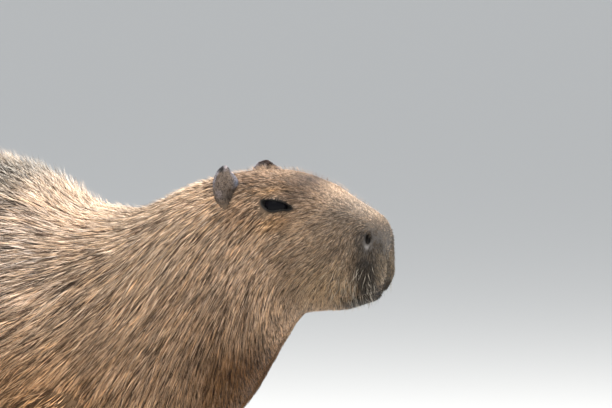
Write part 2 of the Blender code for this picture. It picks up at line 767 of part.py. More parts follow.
def lock_roots():
    """Roots in staggered rows: distance behind the nose, angle, share from short to long coat.

    The rows run along the slanting edge of the head at first and stand upright further back.
    """
    draw = random.Random(11)
    line, row = FIRST_LOCK_ROW, 0
    while line < LAST_LOCK_ROW:
        share = float(coat_share(line))
        side_step = LOCK_SIDE_STEP[0] + (LOCK_SIDE_STEP[1] - LOCK_SIDE_STEP[0]) * share
        slant = 1 - min((line - FIRST_LOCK_ROW) / (UPRIGHT_ROWS_FROM - FIRST_LOCK_ROW), 1.0)
        angles = np.radians(np.linspace(-90, 90, 91))
        behinds = np.array([line + slant * (head_cut_behind(a) - HEAD_CUT[0]) for a in angles])
        girth = np.array([body_point(b, a) for b, a in zip(behinds, angles)])
        run = np.concatenate([[0], np.cumsum(np.linalg.norm(np.diff(girth, axis=0), axis=1))])
        lowest = np.interp(math.radians(BELLY_HALF_ANGLE - 90), angles, run)
        count = max(int(round((run[-1] - lowest) / side_step)), 2)
        for k in range(count + 1):
            reach = run[-1] - (k + 0.5 * (row % 2)) * (run[-1] - lowest) / count
            if reach < lowest:
                continue
            for side in (1, -1):
                if side < 0 and reach > run[-1] - 1e-6:
                    continue
                place = reach + draw.uniform(-0.003, 0.003)
                turn = float(np.interp(place, run, angles))
                behind = float(np.interp(place, run, behinds)) + draw.uniform(-0.004, 0.004)
                yield behind, turn if side > 0 else math.pi - turn, share, draw
        line += LOCK_ROW_STEP[0] + (LOCK_ROW_STEP[1] - LOCK_ROW_STEP[0]) * share
        row += 1


def distance_ahead(point, cut):
    """How far a point lies on the nose's side of a cut."""
    place, ahead = cut_plane(cut)
    return (Vector(point) - place).dot(ahead)


def coat_locks():
    """The locks of neck and torso, and the shapes that clear the torso of the neck's locks."""
    found = {"head": [], "neck": [], "torso": []}
    clearances = []
    for behind, angle, share, draw in lock_roots():
        length, width, thickness = (
            small + (large - small) * share for small, large in (LOCK_LENGTH, LOCK_WIDTH, LOCK_THICKNESS)
        )
        lift = CORE_SINK * (0.35 + 0.50 * share) * draw.uniform(0.80, 1.20)
        size = (length * draw.uniform(0.85, 1.12), width * draw.uniform(0.90, 1.10), thickness, lift)
        swing = draw.uniform(-LOCK_SWING, LOCK_SWING)
        home = "neck" if distance_ahead(body_point(behind, angle), NECK_CUT) > 0 else "torso"
        front = HEAD_CUT if home == "neck" else NECK_CUT
        for _ in range(6):
            rings, tip = lock_rings(behind, angle, size, swing)
            over = max(distance_ahead(corner, front) for corner in sum(rings, [tip])) + 2 * GAP
            if over <= 0:
                break
            behind += over * 1.1
        if over > 0 or any(near_a_leg(corner) for corner in sum(rings, [tip])):
            continue
        found[home].append(loft("lock", rings, tip, True))
        if home == "neck" and any(distance_ahead(corner, NECK_CUT) < GAP for corner in sum(rings, [tip])):
            rings, tip = lock_rings(behind, angle, size, swing, GAP)
            clearances.append(loft("clearance", rings, tip, True))
    return found, clearances


def with_locks(obj, locks, clearances, holder):
    """Fuses the locks into their node and cuts it clear of those that hang over from in front."""
    into(holder, obj)
    if locks:
        boolean(obj, "UNION", [into(holder, one) for one in locks], "MANIFOLD")
    if clearances:
        boolean(obj, "DIFFERENCE", [into(holder, one) for one in clearances], "MANIFOLD")
    return keep_largest(obj)


def tail_root():
    """The point on the middle of the rump at the tail's height."""
    near, far = BODY_LENGTH - RUMP_ROUNDING, BODY_LENGTH
    for _ in range(30):
        behind = (near + far) / 2
        near, far = (behind, far) if section_at(behind, CORE_SINK)[0] > TAIL_HEIGHT else (near, behind)
    return Vector((NOSE_X - near + TAIL_RADII[0] * 0.35, 0, TAIL_HEIGHT))


def centre_lengthwise(objects):
    """Moves all nodes along X so that the middle of the animal's length is at the origin."""
    places = [v.co.x for obj in objects for v in obj.data.vertices]
    shift = Matrix.Translation(((-min(places) - max(places)) / 2, 0, 0))
    for obj in objects:
        obj.data.transform(shift)


def build():
    for obj in list(bpy.data.objects):
        bpy.data.objects.remove(obj)
    model = bpy.data.collections.new("capybara")
    tools = bpy.data.collections.new("work")
    for holder in (model, tools):
        bpy.context.scene.collection.children.link(holder)

    fur = material("coat", (0.42, 0.29, 0.18), 0.85)
    ear_skin = material("ear_skin", (0.22, 0.17, 0.14), 0.7)
    foot_skin = material("foot_skin", (0.20, 0.15, 0.12), 0.75)
    eye_look = material("eye", (0.02, 0.012, 0.008), 0.12)
    claw_horn = material("claw_horn", (0.09, 0.07, 0.055), 0.5)

    body = trunk_loft()
    head = head_with_features(head_loft(), tools)
    cores = [head, segment("neck", body, HEAD_CUT, NECK_CUT), segment("torso", body, NECK_CUT)]
    locks, clearances = coat_locks()
    nodes = []
    for core in cores:
        cleared = clearances if core.name == "torso" else []
        nodes.append((with_locks(core, locks[core.name], cleared, tools), fur))
    nodes.append((clear_of(ellipsoid("tail", tail_root(), TAIL_RADII, None, 12, 8), [cores[-1]], tools), fur))
    for side, hand in ((-1, "right"), (1, "left")):
        nodes.append((clear_of(ear_shape("ear_" + hand, side), [head], tools), ear_skin))
        nodes.append((eyeball(side), eye_look))
        legs = (
            ("fore", FORELEG, FORE_WRIST, FORE_TOES, FORE_PALM),
            ("hind", HINDLEG, HIND_ANKLE, HIND_TOES, HIND_PALM),
        )
        for which, table, joint, toes, palm in legs:
            limb = leg(f"{which}leg_{hand}", table, side, joint, body, tools)
            sole = foot(f"{which}foot_{hand}", table, side, joint, toes, palm, tools)
            nodes += [(limb, fur), (sole, foot_skin)]
            for number, toe in enumerate(toes, 1):
                nodes.append((claw(f"{which}claw_{hand}_{number}", table, side, toe), claw_horn))
    for obj, look in nodes:
        finish(obj, model, look)
    centre_lengthwise([obj for obj, _ in nodes])
    bpy.data.collections.remove(tools)


build()
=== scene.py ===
# %% [markdown]
# # A capybara, life size, standing still
#
# The animal is a bit over a metre long: a deep blunt head, small eyes, ears and nostrils set
# high, and a coarse coat whose bristles lie back and down over the body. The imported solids
# give its sizes. This lesson lays one skin inside them and grows the coat out to them. Each
# surface is a formula of two numbers, worked out as whole arrays, because the same formula
# then gives the skin, the roots of the hairs and the way that they lie.

# %% The frame of solids
import json
import math

import bpy
import numpy as np
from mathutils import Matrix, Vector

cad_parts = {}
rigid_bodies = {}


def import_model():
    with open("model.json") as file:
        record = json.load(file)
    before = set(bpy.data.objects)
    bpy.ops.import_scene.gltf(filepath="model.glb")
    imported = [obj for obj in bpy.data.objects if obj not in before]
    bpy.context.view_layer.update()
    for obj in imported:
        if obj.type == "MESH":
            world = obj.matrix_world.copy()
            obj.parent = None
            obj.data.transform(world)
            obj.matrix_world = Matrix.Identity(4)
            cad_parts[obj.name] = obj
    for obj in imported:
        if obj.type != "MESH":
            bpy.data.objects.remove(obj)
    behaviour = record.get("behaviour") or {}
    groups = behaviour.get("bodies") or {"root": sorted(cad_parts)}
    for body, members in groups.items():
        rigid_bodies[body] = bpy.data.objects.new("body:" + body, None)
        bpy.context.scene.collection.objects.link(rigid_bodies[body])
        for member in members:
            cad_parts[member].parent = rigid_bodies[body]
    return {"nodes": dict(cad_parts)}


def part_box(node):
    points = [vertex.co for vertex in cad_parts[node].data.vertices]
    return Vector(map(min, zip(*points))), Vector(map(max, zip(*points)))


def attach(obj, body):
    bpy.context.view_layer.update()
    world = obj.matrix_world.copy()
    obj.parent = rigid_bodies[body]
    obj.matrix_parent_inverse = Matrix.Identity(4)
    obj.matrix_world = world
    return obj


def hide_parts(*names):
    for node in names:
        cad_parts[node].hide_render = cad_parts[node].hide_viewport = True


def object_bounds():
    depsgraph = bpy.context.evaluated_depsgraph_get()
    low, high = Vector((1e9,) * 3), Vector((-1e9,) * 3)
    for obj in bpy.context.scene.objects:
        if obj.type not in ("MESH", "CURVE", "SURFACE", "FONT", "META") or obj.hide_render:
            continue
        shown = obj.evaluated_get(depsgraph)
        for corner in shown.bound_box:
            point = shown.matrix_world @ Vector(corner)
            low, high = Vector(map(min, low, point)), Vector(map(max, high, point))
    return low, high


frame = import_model()
solid_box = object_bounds()
NOSE_START = 0.00034
NOSE_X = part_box("head")[1][0] + NOSE_START
FLOOR = solid_box[0][2]
print("nodes:", len(frame["nodes"]), "nose at", round(NOSE_X, 4))

# %% [markdown]
# ## The camera first
# The photograph was taken from the animal's right and a little in front, from nearly its own
# height, through a long lens. A long lens flattens the depth, so the camera stands six metres
# away. It is placed from a bearing, a height angle and the point that it looks at.

# %% Camera
IMAGE_WIDTH = 612
VIEW_BEARING = math.radians(20.0)
VIEW_HEIGHT = math.radians(3.5)
VIEW_DISTANCE = 6.0
PIXELS_PER_METRE = 880
SENSOR = 36.0
AIM_BEHIND_NOSE = 0.0967
AIM_HEIGHT = 0.4905


def add_camera():
    """A camera whose backward direction is (sin a cos e, -cos a cos e, sin e)."""
    data = bpy.data.cameras.new("camera")
    data.sensor_width = SENSOR
    data.lens = PIXELS_PER_METRE * SENSOR * VIEW_DISTANCE / IMAGE_WIDTH
    camera = bpy.data.objects.new("camera", data)
    bpy.context.scene.collection.objects.link(camera)
    a, e = VIEW_BEARING, VIEW_HEIGHT
    back = np.array([math.sin(a) * math.cos(e), -math.cos(a) * math.cos(e), math.sin(e)])
    aim = np.array([NOSE_X - AIM_BEHIND_NOSE, 0.0, AIM_HEIGHT])
    camera.location = aim + VIEW_DISTANCE * back
    camera.rotation_euler = (math.pi / 2 - e, 0.0, a)
    bpy.context.scene.camera = camera
    return camera


camera = add_camera()
print("lens", round(camera.data.lens, 1), "mm")

# %% [markdown]
# ## The body as one formula
# Upright cross-sections from nose to rump hold the outline of the coat: top, bottom, half
# width, height of the widest place, and two powers that square off the upper and lower half.
# A smooth curve runs through each column. The same table made the solids, so the skin fits.

# %% Cross-sections
BODY_LENGTH = 1.06
SECTIONS = np.array((
    (0.000, 0.4730, 0.3925, 0.0385, 0.430, 2.7, 2.6),
    (0.012, 0.4815, 0.3855, 0.0405, 0.430, 2.7, 2.6),
    (0.030, 0.4930, 0.3775, 0.0445, 0.428, 2.7, 2.5),
    (0.050, 0.5040, 0.3712, 0.0495, 0.427, 2.8, 2.5),
    (0.075, 0.5170, 0.3698, 0.0545, 0.429, 2.9, 2.4),
    (0.100, 0.5260, 0.3660, 0.0600, 0.433, 3.0, 2.4),
    (0.115, 0.5287, 0.3530, 0.0645, 0.434, 3.0, 2.3),
    (0.130, 0.5300, 0.3300, 0.0695, 0.430, 2.9, 2.2),
    (0.150, 0.5295, 0.2975, 0.0760, 0.420, 2.8, 2.2),
    (0.175, 0.5262, 0.2590, 0.0830, 0.406, 2.7, 2.2),
    (0.200, 0.5205, 0.2360, 0.0895, 0.393, 2.6, 2.2),
    (0.235, 0.5095, 0.2160, 0.0980, 0.378, 2.5, 2.2),
    (0.270, 0.4945, 0.2050, 0.1065, 0.364, 2.4, 2.2),
    (0.300, 0.4855, 0.2000, 0.1110, 0.354, 2.4, 2.2),
    (0.345, 0.4885, 0.1955, 0.1180, 0.348, 2.3, 2.2),
    (0.380, 0.5010, 0.1930, 0.1240, 0.344, 2.2, 2.2),
    (0.420, 0.5230, 0.1900, 0.1300, 0.341, 2.2, 2.2),
    (0.460, 0.5350, 0.1870, 0.1350, 0.338, 2.2, 2.3),
    (0.530, 0.5455, 0.1820, 0.1430, 0.334, 2.2, 2.4),
    (0.615, 0.5560, 0.1780, 0.1490, 0.332, 2.2, 2.5),
    (0.700, 0.5620, 0.1790, 0.1520, 0.334, 2.2, 2.5),
    (0.785, 0.5610, 0.1880, 0.1510, 0.338, 2.2, 2.4),
    (0.865, 0.5490, 0.2060, 0.1460, 0.346, 2.2, 2.3),
    (0.940, 0.5240, 0.2300, 0.1370, 0.356, 2.2, 2.2),
    (1.000, 0.4900, 0.2550, 0.1260, 0.366, 2.2, 2.2),
    (1.060, 0.4500, 0.2800, 0.1140, 0.375, 2.2, 2.2),
))
# Swellings of the flesh on both sides: behind the nose, height, push, reach along, reach up
SWELLINGS = (
    (0.045, 0.415, 0.0045, 0.022, 0.022),
    (0.118, 0.512, 0.0030, 0.022, 0.010),
    (0.088, 0.482, -0.0040, 0.018, 0.016),
    (0.165, 0.425, 0.0060, 0.035, 0.035),
    (0.395, 0.310, 0.0090, 0.060, 0.090),
    (0.905, 0.330, 0.0130, 0.085, 0.110),
)
CORE_SINK = 0.009
SKIN_LENGTH = BODY_LENGTH - CORE_SINK
COAT_STARTS, COAT_FULL = 0.165, 0.400
FACE_COAT = 0.0020
# The blunt ends: depth and power of their rounding, the level that they close to, their radius
NOSE_END, RUMP_END = (0.012, 3.0), (0.130, 2.2)
NOSE_LEVEL, RUMP_LEVEL = 0.430, 0.375
NOSE_RADIUS, RUMP_RADIUS = 0.040, 0.110
print("cross-sections:", len(SECTIONS), "over", BODY_LENGTH, "m")

# %% Smooth curves through tables
def slopes_through(places, values):
    """Slopes of a cubic that never overshoots: the weighted harmonic mean of both sides' rises."""
    step = np.diff(places)
    rise = np.diff(values) / step
    slope = np.zeros_like(values)
    slope[0], slope[-1] = rise[0], rise[-1]
    before, after = 2 * step[1:] + step[:-1], step[1:] + 2 * step[:-1]
    with np.errstate(divide="ignore", invalid="ignore"):
        mean = (before + after) / (before / rise[:-1] + after / rise[1:])
    slope[1:-1] = np.where(rise[:-1] * rise[1:] > 0, mean, 0.0)
    return slope


def curve_through(places, table):
    """A function of place that gives all columns of a table: cubic Hermite between its rows."""
    slopes = np.stack([slopes_through(places, column) for column in table.T], axis=-1)

    def at(where):
        where = np.clip(where, places[0], places[-1])
        i = np.clip(np.searchsorted(places, where) - 1, 0, len(places) - 2)
        step = places[i + 1] - places[i]
        t = ((where - places[i]) / step)[..., None]
        step = step[..., None]
        return (
            (2 * t**3 - 3 * t**2 + 1) * table[i]
            + (t**3 - 2 * t**2 + t) * step * slopes[i]
            + (3 * t**2 - 2 * t**3) * table[i + 1]
            + (t**3 - t**2) * step * slopes[i + 1]
        )

    return at


section_curve = curve_through(SECTIONS[:, 0], SECTIONS[:, 1:])
print("top of the back at its highest:", round(float(section_curve(np.array(0.7))[0]), 3), "m")

# %% Ramps, rounded ends and bells
def ramp(value, start, end):
    """0 before start, 1 after end, and a smooth rise between: 3t^2 - 2t^3."""
    t = np.clip((value - start) / (end - start), 0.0, 1.0)
    return t * t * (3 - 2 * t)


def rounding(distance, depth, power):
    """Closes an end: 0 there, 1 once depth is passed, a quarter of a superellipse between."""
    t = np.clip(distance / depth, 0.0, 1.0)
    return (1 - (1 - t) ** power) ** (1 / power)


def unrounding(share, depth, power):
    """The distance at which rounding gives a share: depth * (1 - (1 - share^p)^(1/p))."""
    return depth * (1 - (1 - share**power) ** (1 / power))


def bell(x, y, place, level, along, high):
    """A soft hill round a place: exp(-((x - place) / along)^2 - ((y - level) / high)^2)."""
    return np.exp(-(((x - place) / along) ** 2) - ((y - level) / high) ** 2)


print("a ramp half way up:", float(ramp(0.5, 0.0, 1.0)))

# %% The skin's cross-section
def skin_depth(behind):
    """How deep the skin lies under the outline: thin on the face, full on the trunk."""
    face = FACE_COAT * ramp(behind, 0.0, 0.05)
    return face + (CORE_SINK - FACE_COAT) * ramp(behind, COAT_STARTS - 0.03, COAT_FULL)


def section_at(behind):
    """Top, bottom, half width, widest height and both powers of the skin's cross-section."""
    behind = np.asarray(behind, float)
    top, bottom, half, widest, upper, lower = np.moveaxis(section_curve(behind), -1, 0)
    depth = skin_depth(behind)
    top, bottom, half = top - depth, bottom + depth, half - depth
    nose, rump = rounding(behind, *NOSE_END), rounding(SKIN_LENGTH - behind, *RUMP_END)
    for share, level in ((nose, NOSE_LEVEL), (rump, RUMP_LEVEL)):
        top, bottom, widest = (level + (z - level) * share for z in (top, bottom, widest))
        half = half * share
    return top, bottom, half, widest, upper, lower


def swelling_at(behind, height):
    """Sum of the flesh's swellings: each is a push times a bell."""
    total = 0.0
    for place, level, push, along, up in SWELLINGS:
        total = total + push * bell(behind, height, place, level, along, up)
    return total


def half_width_at(behind, height):
    """Half width of the body at a height, from the superellipse |side|^p + |up|^p = 1."""
    top, bottom, half, widest, upper, lower = section_at(behind)
    above = height >= widest
    power = np.where(above, upper, lower)
    reach = np.maximum(np.where(above, top - widest, widest - bottom), 1e-6)
    share = np.clip(np.abs(height - widest) / reach, 0.0, 1.0)
    return (1 - share**power) ** (1 / power) * (half + swelling_at(behind, height))


print("body height", round(float(section_at(0.7)[0]), 3), "m at the skin")

# %% Distance over the surface
PAST_NOSE_END, BEFORE_RUMP_END = 0.0125, 0.132


def run_table():
    """Distance run over the top of the body from the tip of the nose, against distance behind it.

    Both ends of the body are blunt, so the run grows there by the radius as well:
    ds^2 = dx^2 + dr^2, where r is the share by which the ends are rounded times their size.
    """
    share = np.linspace(0, 0.99, 60)
    front, back = unrounding(share, *NOSE_END), unrounding(share, *RUMP_END)
    between = np.linspace(PAST_NOSE_END, SKIN_LENGTH - BEFORE_RUMP_END, 60)
    behind = np.unique(np.concatenate([front, between, SKIN_LENGTH - back[::-1]]))
    radius = NOSE_RADIUS * rounding(behind, *NOSE_END)
    radius += RUMP_RADIUS * rounding(SKIN_LENGTH - behind, *RUMP_END)
    run = np.concatenate([[0], np.cumsum(np.hypot(np.diff(behind), np.diff(radius)))])
    return run, behind


RUN, BEHIND = run_table()
behind_curve = curve_through(RUN, BEHIND[:, None])


def behind_at(run):
    """Distance behind the nose after a run over the surface."""
    return behind_curve(np.asarray(run, float))[..., 0]


def run_at(behind):
    """The run that leads to a distance behind the nose."""
    return np.interp(behind, BEHIND, RUN)


print("run from nose to rump:", round(float(RUN[-1]), 3), "m")

# %% The plain body
SWELL_AT_NOSE, SWELL_AT_RUMP = (0.03, 2.0), (0.08, 2.0)


def trunk_surface(run, angle):
    """Point on the plain body: angle 0 is the left flank, a quarter turn the back."""
    behind = behind_at(run)
    top, bottom, half, widest, upper, lower = section_at(behind)
    c, s = np.cos(angle), np.sin(angle)
    power = np.where(s >= 0, upper, lower)
    reach = np.where(s >= 0, top - widest, widest - bottom)
    side = np.sign(c) * np.abs(c) ** (2 / power)
    z = widest + np.sign(s) * reach * np.abs(s) ** (2 / power)
    nose = rounding(behind, *SWELL_AT_NOSE)
    rump = rounding(BODY_LENGTH - behind - CORE_SINK, *SWELL_AT_RUMP)
    y = side * (half + swelling_at(behind, z) * np.minimum(nose, rump))
    return np.stack([NOSE_X - behind + 0 * z, y, z], axis=-1)


def unit(vectors):
    """Vectors divided by their length."""
    return vectors / np.maximum(np.linalg.norm(vectors, axis=-1, keepdims=True), 1e-12)


def frame_on(surface, u, v, step=2e-4):
    """Point, outward normal and the two slopes of a surface, from small steps both ways."""
    along_u = (surface(u + step, v) - surface(u - step, v)) / (2 * step)
    along_v = (surface(u, v + step) - surface(u, v - step)) / (2 * step)
    return surface(u, v), unit(np.cross(along_u, along_v)), along_u, along_v


print("half width over the ribs:", round(float(abs(trunk_surface(run_at(0.7), 0.0)[1])), 3), "m")

# %% [markdown]
# ## The relief of the face
# Real flesh rises in soft mounds: a rim round each nostril, the pads of the lips, the brow,
# the cheek. Grooves part the lips and run down the middle of the muzzle. Each is a bell of
# distance from a point or from a line, added up and pushed out along the surface's normal.

# %% Places on the face
NOSTRIL = (0.0088, 0.0395, 0.4560)
EYE_BEHIND, EYE_HEIGHT = 0.1150, 0.4910
EYE_RADIUS, EYE_SINK = 0.0145, 0.0112
MOUTH_LEVEL, MOUTH_CORNER = 0.3915, 0.046
# Mounds: behind the nose, out from the middle, height, push out, reach
MOUNDS = (
    (0.0110, 0.0400, 0.4565, 0.0024, 0.0105),
    (0.0088, 0.0395, 0.4555, -0.0044, 0.0046),
    (0.0080, 0.0400, 0.4440, 0.0010, 0.0050),
    (0.004, 0.0180, 0.4140, 0.0022, 0.0150),
    (0.022, 0.0410, 0.4090, 0.0020, 0.0130),
    (0.028, 0.0330, 0.3800, 0.0016, 0.0090),
    (0.050, 0.0330, 0.4980, 0.0014, 0.0140),
    (0.062, 0.0100, 0.5130, 0.0022, 0.0160),
    (0.100, 0.0600, 0.4700, -0.0018, 0.0110),
    (0.132, 0.0700, 0.4780, -0.0014, 0.0120),
    (0.110, 0.0560, 0.4440, 0.0018, 0.0200),
    (0.145, 0.0740, 0.4900, 0.0012, 0.0130),
    (0.036, 0.0430, 0.4480, -0.0012, 0.0120),
)
# Rolls along the line between the lips: push out, how far above the line, reach
LIP_ROLLS = ((-0.0034, 0.0, 0.0017), (0.0012, 0.0050, 0.0036), (0.0010, -0.0045, 0.0032))
SPLIT_DEPTH, SPLIT_WIDTH = 0.0016, 0.0016
CHIN_SINK = 0.0052
# The opening between the lids: size, tilt, height of each lid's edge, drawing out of its corner
OPENING_LENGTH, OPENING_HEIGHT, OPENING_POWER = 0.0328, 0.0124, 1.15
OPENING_TILT = math.radians(-14)
UPPER_LIFT, LOWER_LIFT, CORNER_DRAW = 0.34, 0.66, 0.66
LID, LID_BLEND = 0.0011, 0.0012
SIDES = (-1, 1)
print("mounds on each side of the face:", len(MOUNDS))

# %% Eye and mouth
EYE_FACING = (0.34, 0.93, 0.12)
MOUTH_DROOP, MOUTH_SAG = 0.0030, 0.0012


def eye_axes(side):
    """Centre of the eyeball and the three ways: outwards, along the opening, over it."""
    out = unit(np.array([EYE_FACING[0], side * EYE_FACING[1], EYE_FACING[2]]))
    flank = float(half_width_at(EYE_BEHIND, EYE_HEIGHT) + skin_depth(EYE_BEHIND))
    centre = np.array([NOSE_X - EYE_BEHIND, side * (flank - EYE_SINK), EYE_HEIGHT])
    along = unit(np.cross(np.array([0.0, 0.0, 1.0]), out)) * -side
    along = along * np.sign(along[0])
    over = unit(np.cross(out, along))
    over = over * np.sign(over[2])
    ahead = math.cos(OPENING_TILT) * along + math.sin(OPENING_TILT) * over
    upward = math.cos(OPENING_TILT) * over - math.sin(OPENING_TILT) * along
    return centre, out, ahead, upward


def almond(turn):
    """The pointed opening: a cosine along it, a powered sine over it, deepest below its back."""
    ahead, over = np.cos(turn), np.sin(turn)
    drawn_out = 1 - CORNER_DRAW * ramp(ahead, -0.45, 0.70)
    lift = np.where(over > 0, UPPER_LIFT + 0.05 * ahead, LOWER_LIFT * drawn_out)
    up = np.sign(over) * np.abs(over) ** OPENING_POWER * lift * OPENING_HEIGHT
    return ahead * OPENING_LENGTH / 2, up


def mouth_height(behind, side):
    """Height of the line between the lips: level in front and drooping towards its corner."""
    droop = MOUTH_DROOP * ramp(behind, 0.012, MOUTH_CORNER)
    return MOUTH_LEVEL - droop - MOUTH_SAG * ramp(side, 0.0, 0.03)


EYES = [eye_axes(side) for side in SIDES]
print("distance between the eyes:", round(float(EYES[1][0][1] - EYES[0][0][1]), 3), "m")

# %% Face relief
def face_relief(points):
    """How far the face is pushed out: mounds and grooves by distance, and lids over the eyeballs.

    The lids lift the face to a little over each ball wherever it would lie lower: the smooth
    maximum (d + sqrt(d^2 + k^2)) / 2 of what is missing.
    """
    behind, side, up = NOSE_X - points[..., 0], np.abs(points[..., 1]), points[..., 2]
    total = np.zeros(behind.shape)
    for place, out, level, push, reach in MOUNDS:
        square = (behind - place) ** 2 + (side - out) ** 2 + (up - level) ** 2
        total += push * np.exp(-square / reach**2)
    lips = 1 - ramp(behind, MOUTH_CORNER - 0.008, MOUTH_CORNER + 0.004)
    from_mouth = up - mouth_height(behind, side)
    for push, above, reach in LIP_ROLLS:
        total += push * lips * np.exp(-(((from_mouth - above) / reach) ** 2))
    front = (1 - ramp(behind, 0.006, 0.014)) * ramp(up, MOUTH_LEVEL - 0.002, MOUTH_LEVEL + 0.004)
    front = front * (1 - ramp(up, 0.432, 0.446))
    total -= SPLIT_DEPTH * front * np.exp(-((side / SPLIT_WIDTH) ** 2))
    total -= CHIN_SINK * (1 - ramp(behind, 0.0, 0.017)) * (1 - ramp(up, 0.386, 0.414))
    for centre, out, _, _ in EYES:
        offset = points - centre
        depth = offset @ out
        aside = (offset**2).sum(axis=-1) - depth**2
        ball = np.sqrt(np.maximum(EYE_RADIUS**2 - aside, 0.0))
        short = ball + LID - depth - total
        lift = (short + np.sqrt(short**2 + LID_BLEND**2)) / 2
        near = (depth > 0) * (1 - ramp(aside, 0.015**2, 0.020**2))
        total += near * lift
    return total


def body_surface(run, angle):
    """The body with its face: the plain surface moved out along its normal by the relief."""
    points, normals, _, _ = frame_on(trunk_surface, np.maximum(run, 4e-4), angle)
    return points + normals * face_relief(points)[..., None]


print("tip of the nose at", np.round(body_surface(RUN[1], 0.0), 3))

# %% [markdown]
# ## From arrays to meshes
# A grid of points becomes a closed mesh: its columns wrap round, its first and last rows are
# closed by fans, and all faces are turned outwards. Pieces that share flesh are joined by a
# Boolean union, so no seam is left between them.

# %% Mesh helpers
def make_mesh(name, points, triangles):
    """A mesh object from a point array and a triangle array, with outward faces."""
    points = np.asarray(points, float).reshape(-1, 3)
    triangles = np.asarray(triangles, int).reshape(-1, 3)
    a, b, c = (points[triangles[:, k]] for k in range(3))
    if np.einsum("ij,ij->i", a, np.cross(b, c)).sum() < 0:
        triangles = triangles[:, ::-1]
    mesh = bpy.data.meshes.new(name)
    mesh.vertices.add(len(points))
    mesh.vertices.foreach_set("co", points.ravel())
    mesh.loops.add(3 * len(triangles))
    mesh.loops.foreach_set("vertex_index", np.ascontiguousarray(triangles).ravel())
    mesh.polygons.add(len(triangles))
    mesh.polygons.foreach_set("loop_start", np.arange(0, 3 * len(triangles), 3))
    mesh.update(calc_edges=True)
    mesh.shade_smooth()
    obj = bpy.data.objects.new(name, mesh)
    bpy.context.scene.collection.objects.link(obj)
    return obj


def full_circle(count):
    """Even angles round a circle, without its end."""
    return np.linspace(0, 2 * math.pi, count, endpoint=False)


def grid_triangles(rows, cols, ring=False):
    """Triangles of a grid whose columns wrap round, and its rows too where it is a ring."""
    index = np.arange(rows * cols).reshape(rows, cols)
    if ring:
        index = np.concatenate([index, index[:1]])
    beside = np.roll(index, -1, axis=1)
    near, far, near_next, far_next = index[:-1], beside[:-1], index[1:], beside[1:]
    halves = (near, far, far_next), (near, far_next, near_next)
    return np.concatenate([np.stack(half, axis=-1).reshape(-1, 3) for half in halves])


def skin_grid(name, grid):
    """A closed body from a grid: rows along it, columns round it, fans at both ends."""
    rows, cols = grid.shape[:2]
    points = np.concatenate([grid.reshape(-1, 3), grid[:1].mean(axis=1), grid[-1:].mean(axis=1)])
    first, last = rows * cols, rows * cols + 1
    k = np.arange(cols)
    n = np.roll(k, -1)
    start = np.stack([np.full(cols, first), n, k], axis=-1)
    end = np.stack([np.full(cols, last), k + (rows - 1) * cols, n + (rows - 1) * cols], axis=-1)
    return make_mesh(name, points, np.concatenate([grid_triangles(rows, cols), start, end]))


print("triangles between two rings of six:", len(grid_triangles(2, 6)))

# %% Joining and cutting
def combine(obj, operation, others):
    """Joins obj with closed meshes or cuts them out of it, and removes them."""
    holder = bpy.data.collections.new("tools")
    bpy.context.scene.collection.children.link(holder)
    for other in others:
        bpy.context.scene.collection.objects.unlink(other)
        holder.objects.link(other)
    modifier = obj.modifiers.new(operation.lower(), "BOOLEAN")
    modifier.operation = operation
    modifier.operand_type = "COLLECTION"
    modifier.collection = holder
    modifier.solver = "MANIFOLD"
    graph = bpy.context.evaluated_depsgraph_get()
    made = bpy.data.meshes.new_from_object(obj.evaluated_get(graph), depsgraph=graph)
    obj.modifiers.clear()
    obj.data = made
    for other in list(holder.objects):
        bpy.data.objects.remove(other)
    bpy.data.collections.remove(holder)


# %% [markdown]
# ## The trunk and the head
# The head needs a fine grid for lids, lips and nostrils, and the trunk, which the coat hides,
# a wide one. So the stations crowd at the nose and spread out behind the ears.

# %% Body grid
AROUND = 240
FACE_ENDS = 0.190
face_runs = np.linspace(0.0015, run_at(FACE_ENDS), 150)
trunk_runs = np.linspace(run_at(FACE_ENDS), RUN[-1] - 0.004, 120)[1:]
stations = np.concatenate([face_runs, trunk_runs])
angles = full_circle(AROUND)
grid = body_surface(stations[:, None], angles[None, :])
skin = skin_grid("skin", grid)
print("body grid", grid.shape[:2], "vertices", len(skin.data.vertices))

# %% [markdown]
# ## Legs and feet
# A leg is a stack of level ellipses whose centre and size follow a curve: broad thigh, knee,
# slender shank. The feet are half webbed, four toes in front and three behind, each a bent
# tapered tube with a blunt hoof-like claw. They are flat underneath, where they bear.

# %% Limb tables
# behind the nose, out from the middle, height, half length, half width
FORELEG = np.array((
    (0.385, 0.064, 0.330, 0.060, 0.034),
    (0.388, 0.076, 0.290, 0.068, 0.040),
    (0.392, 0.083, 0.240, 0.064, 0.044),
    (0.398, 0.086, 0.195, 0.050, 0.041),
    (0.396, 0.087, 0.150, 0.038, 0.032),
    (0.390, 0.086, 0.105, 0.030, 0.027),
    (0.384, 0.086, 0.070, 0.027, 0.026),
    (0.378, 0.086, 0.042, 0.030, 0.030),
    (0.374, 0.086, 0.026, 0.033, 0.033),
))
HINDLEG = np.array((
    (0.905, 0.072, 0.370, 0.080, 0.036),
    (0.904, 0.086, 0.325, 0.094, 0.044),
    (0.905, 0.097, 0.280, 0.096, 0.050),
    (0.910, 0.102, 0.235, 0.084, 0.049),
    (0.924, 0.102, 0.192, 0.064, 0.041),
    (0.948, 0.101, 0.155, 0.046, 0.034),
    (0.966, 0.100, 0.122, 0.034, 0.028),
    (0.972, 0.100, 0.092, 0.028, 0.025),
    (0.962, 0.100, 0.062, 0.028, 0.026),
    (0.946, 0.100, 0.040, 0.032, 0.030),
    (0.940, 0.100, 0.026, 0.036, 0.032),
))
# how far out a toe stands from the foot's middle line, its reach ahead, its turn in degrees
FORE_TOES = ((-0.031, 0.040, -26), (-0.012, 0.056, -8), (0.012, 0.057, 8), (0.030, 0.042, 26))
HIND_TOES = ((-0.030, 0.070, -18), (0.000, 0.086, 0), (0.030, 0.070, 18))
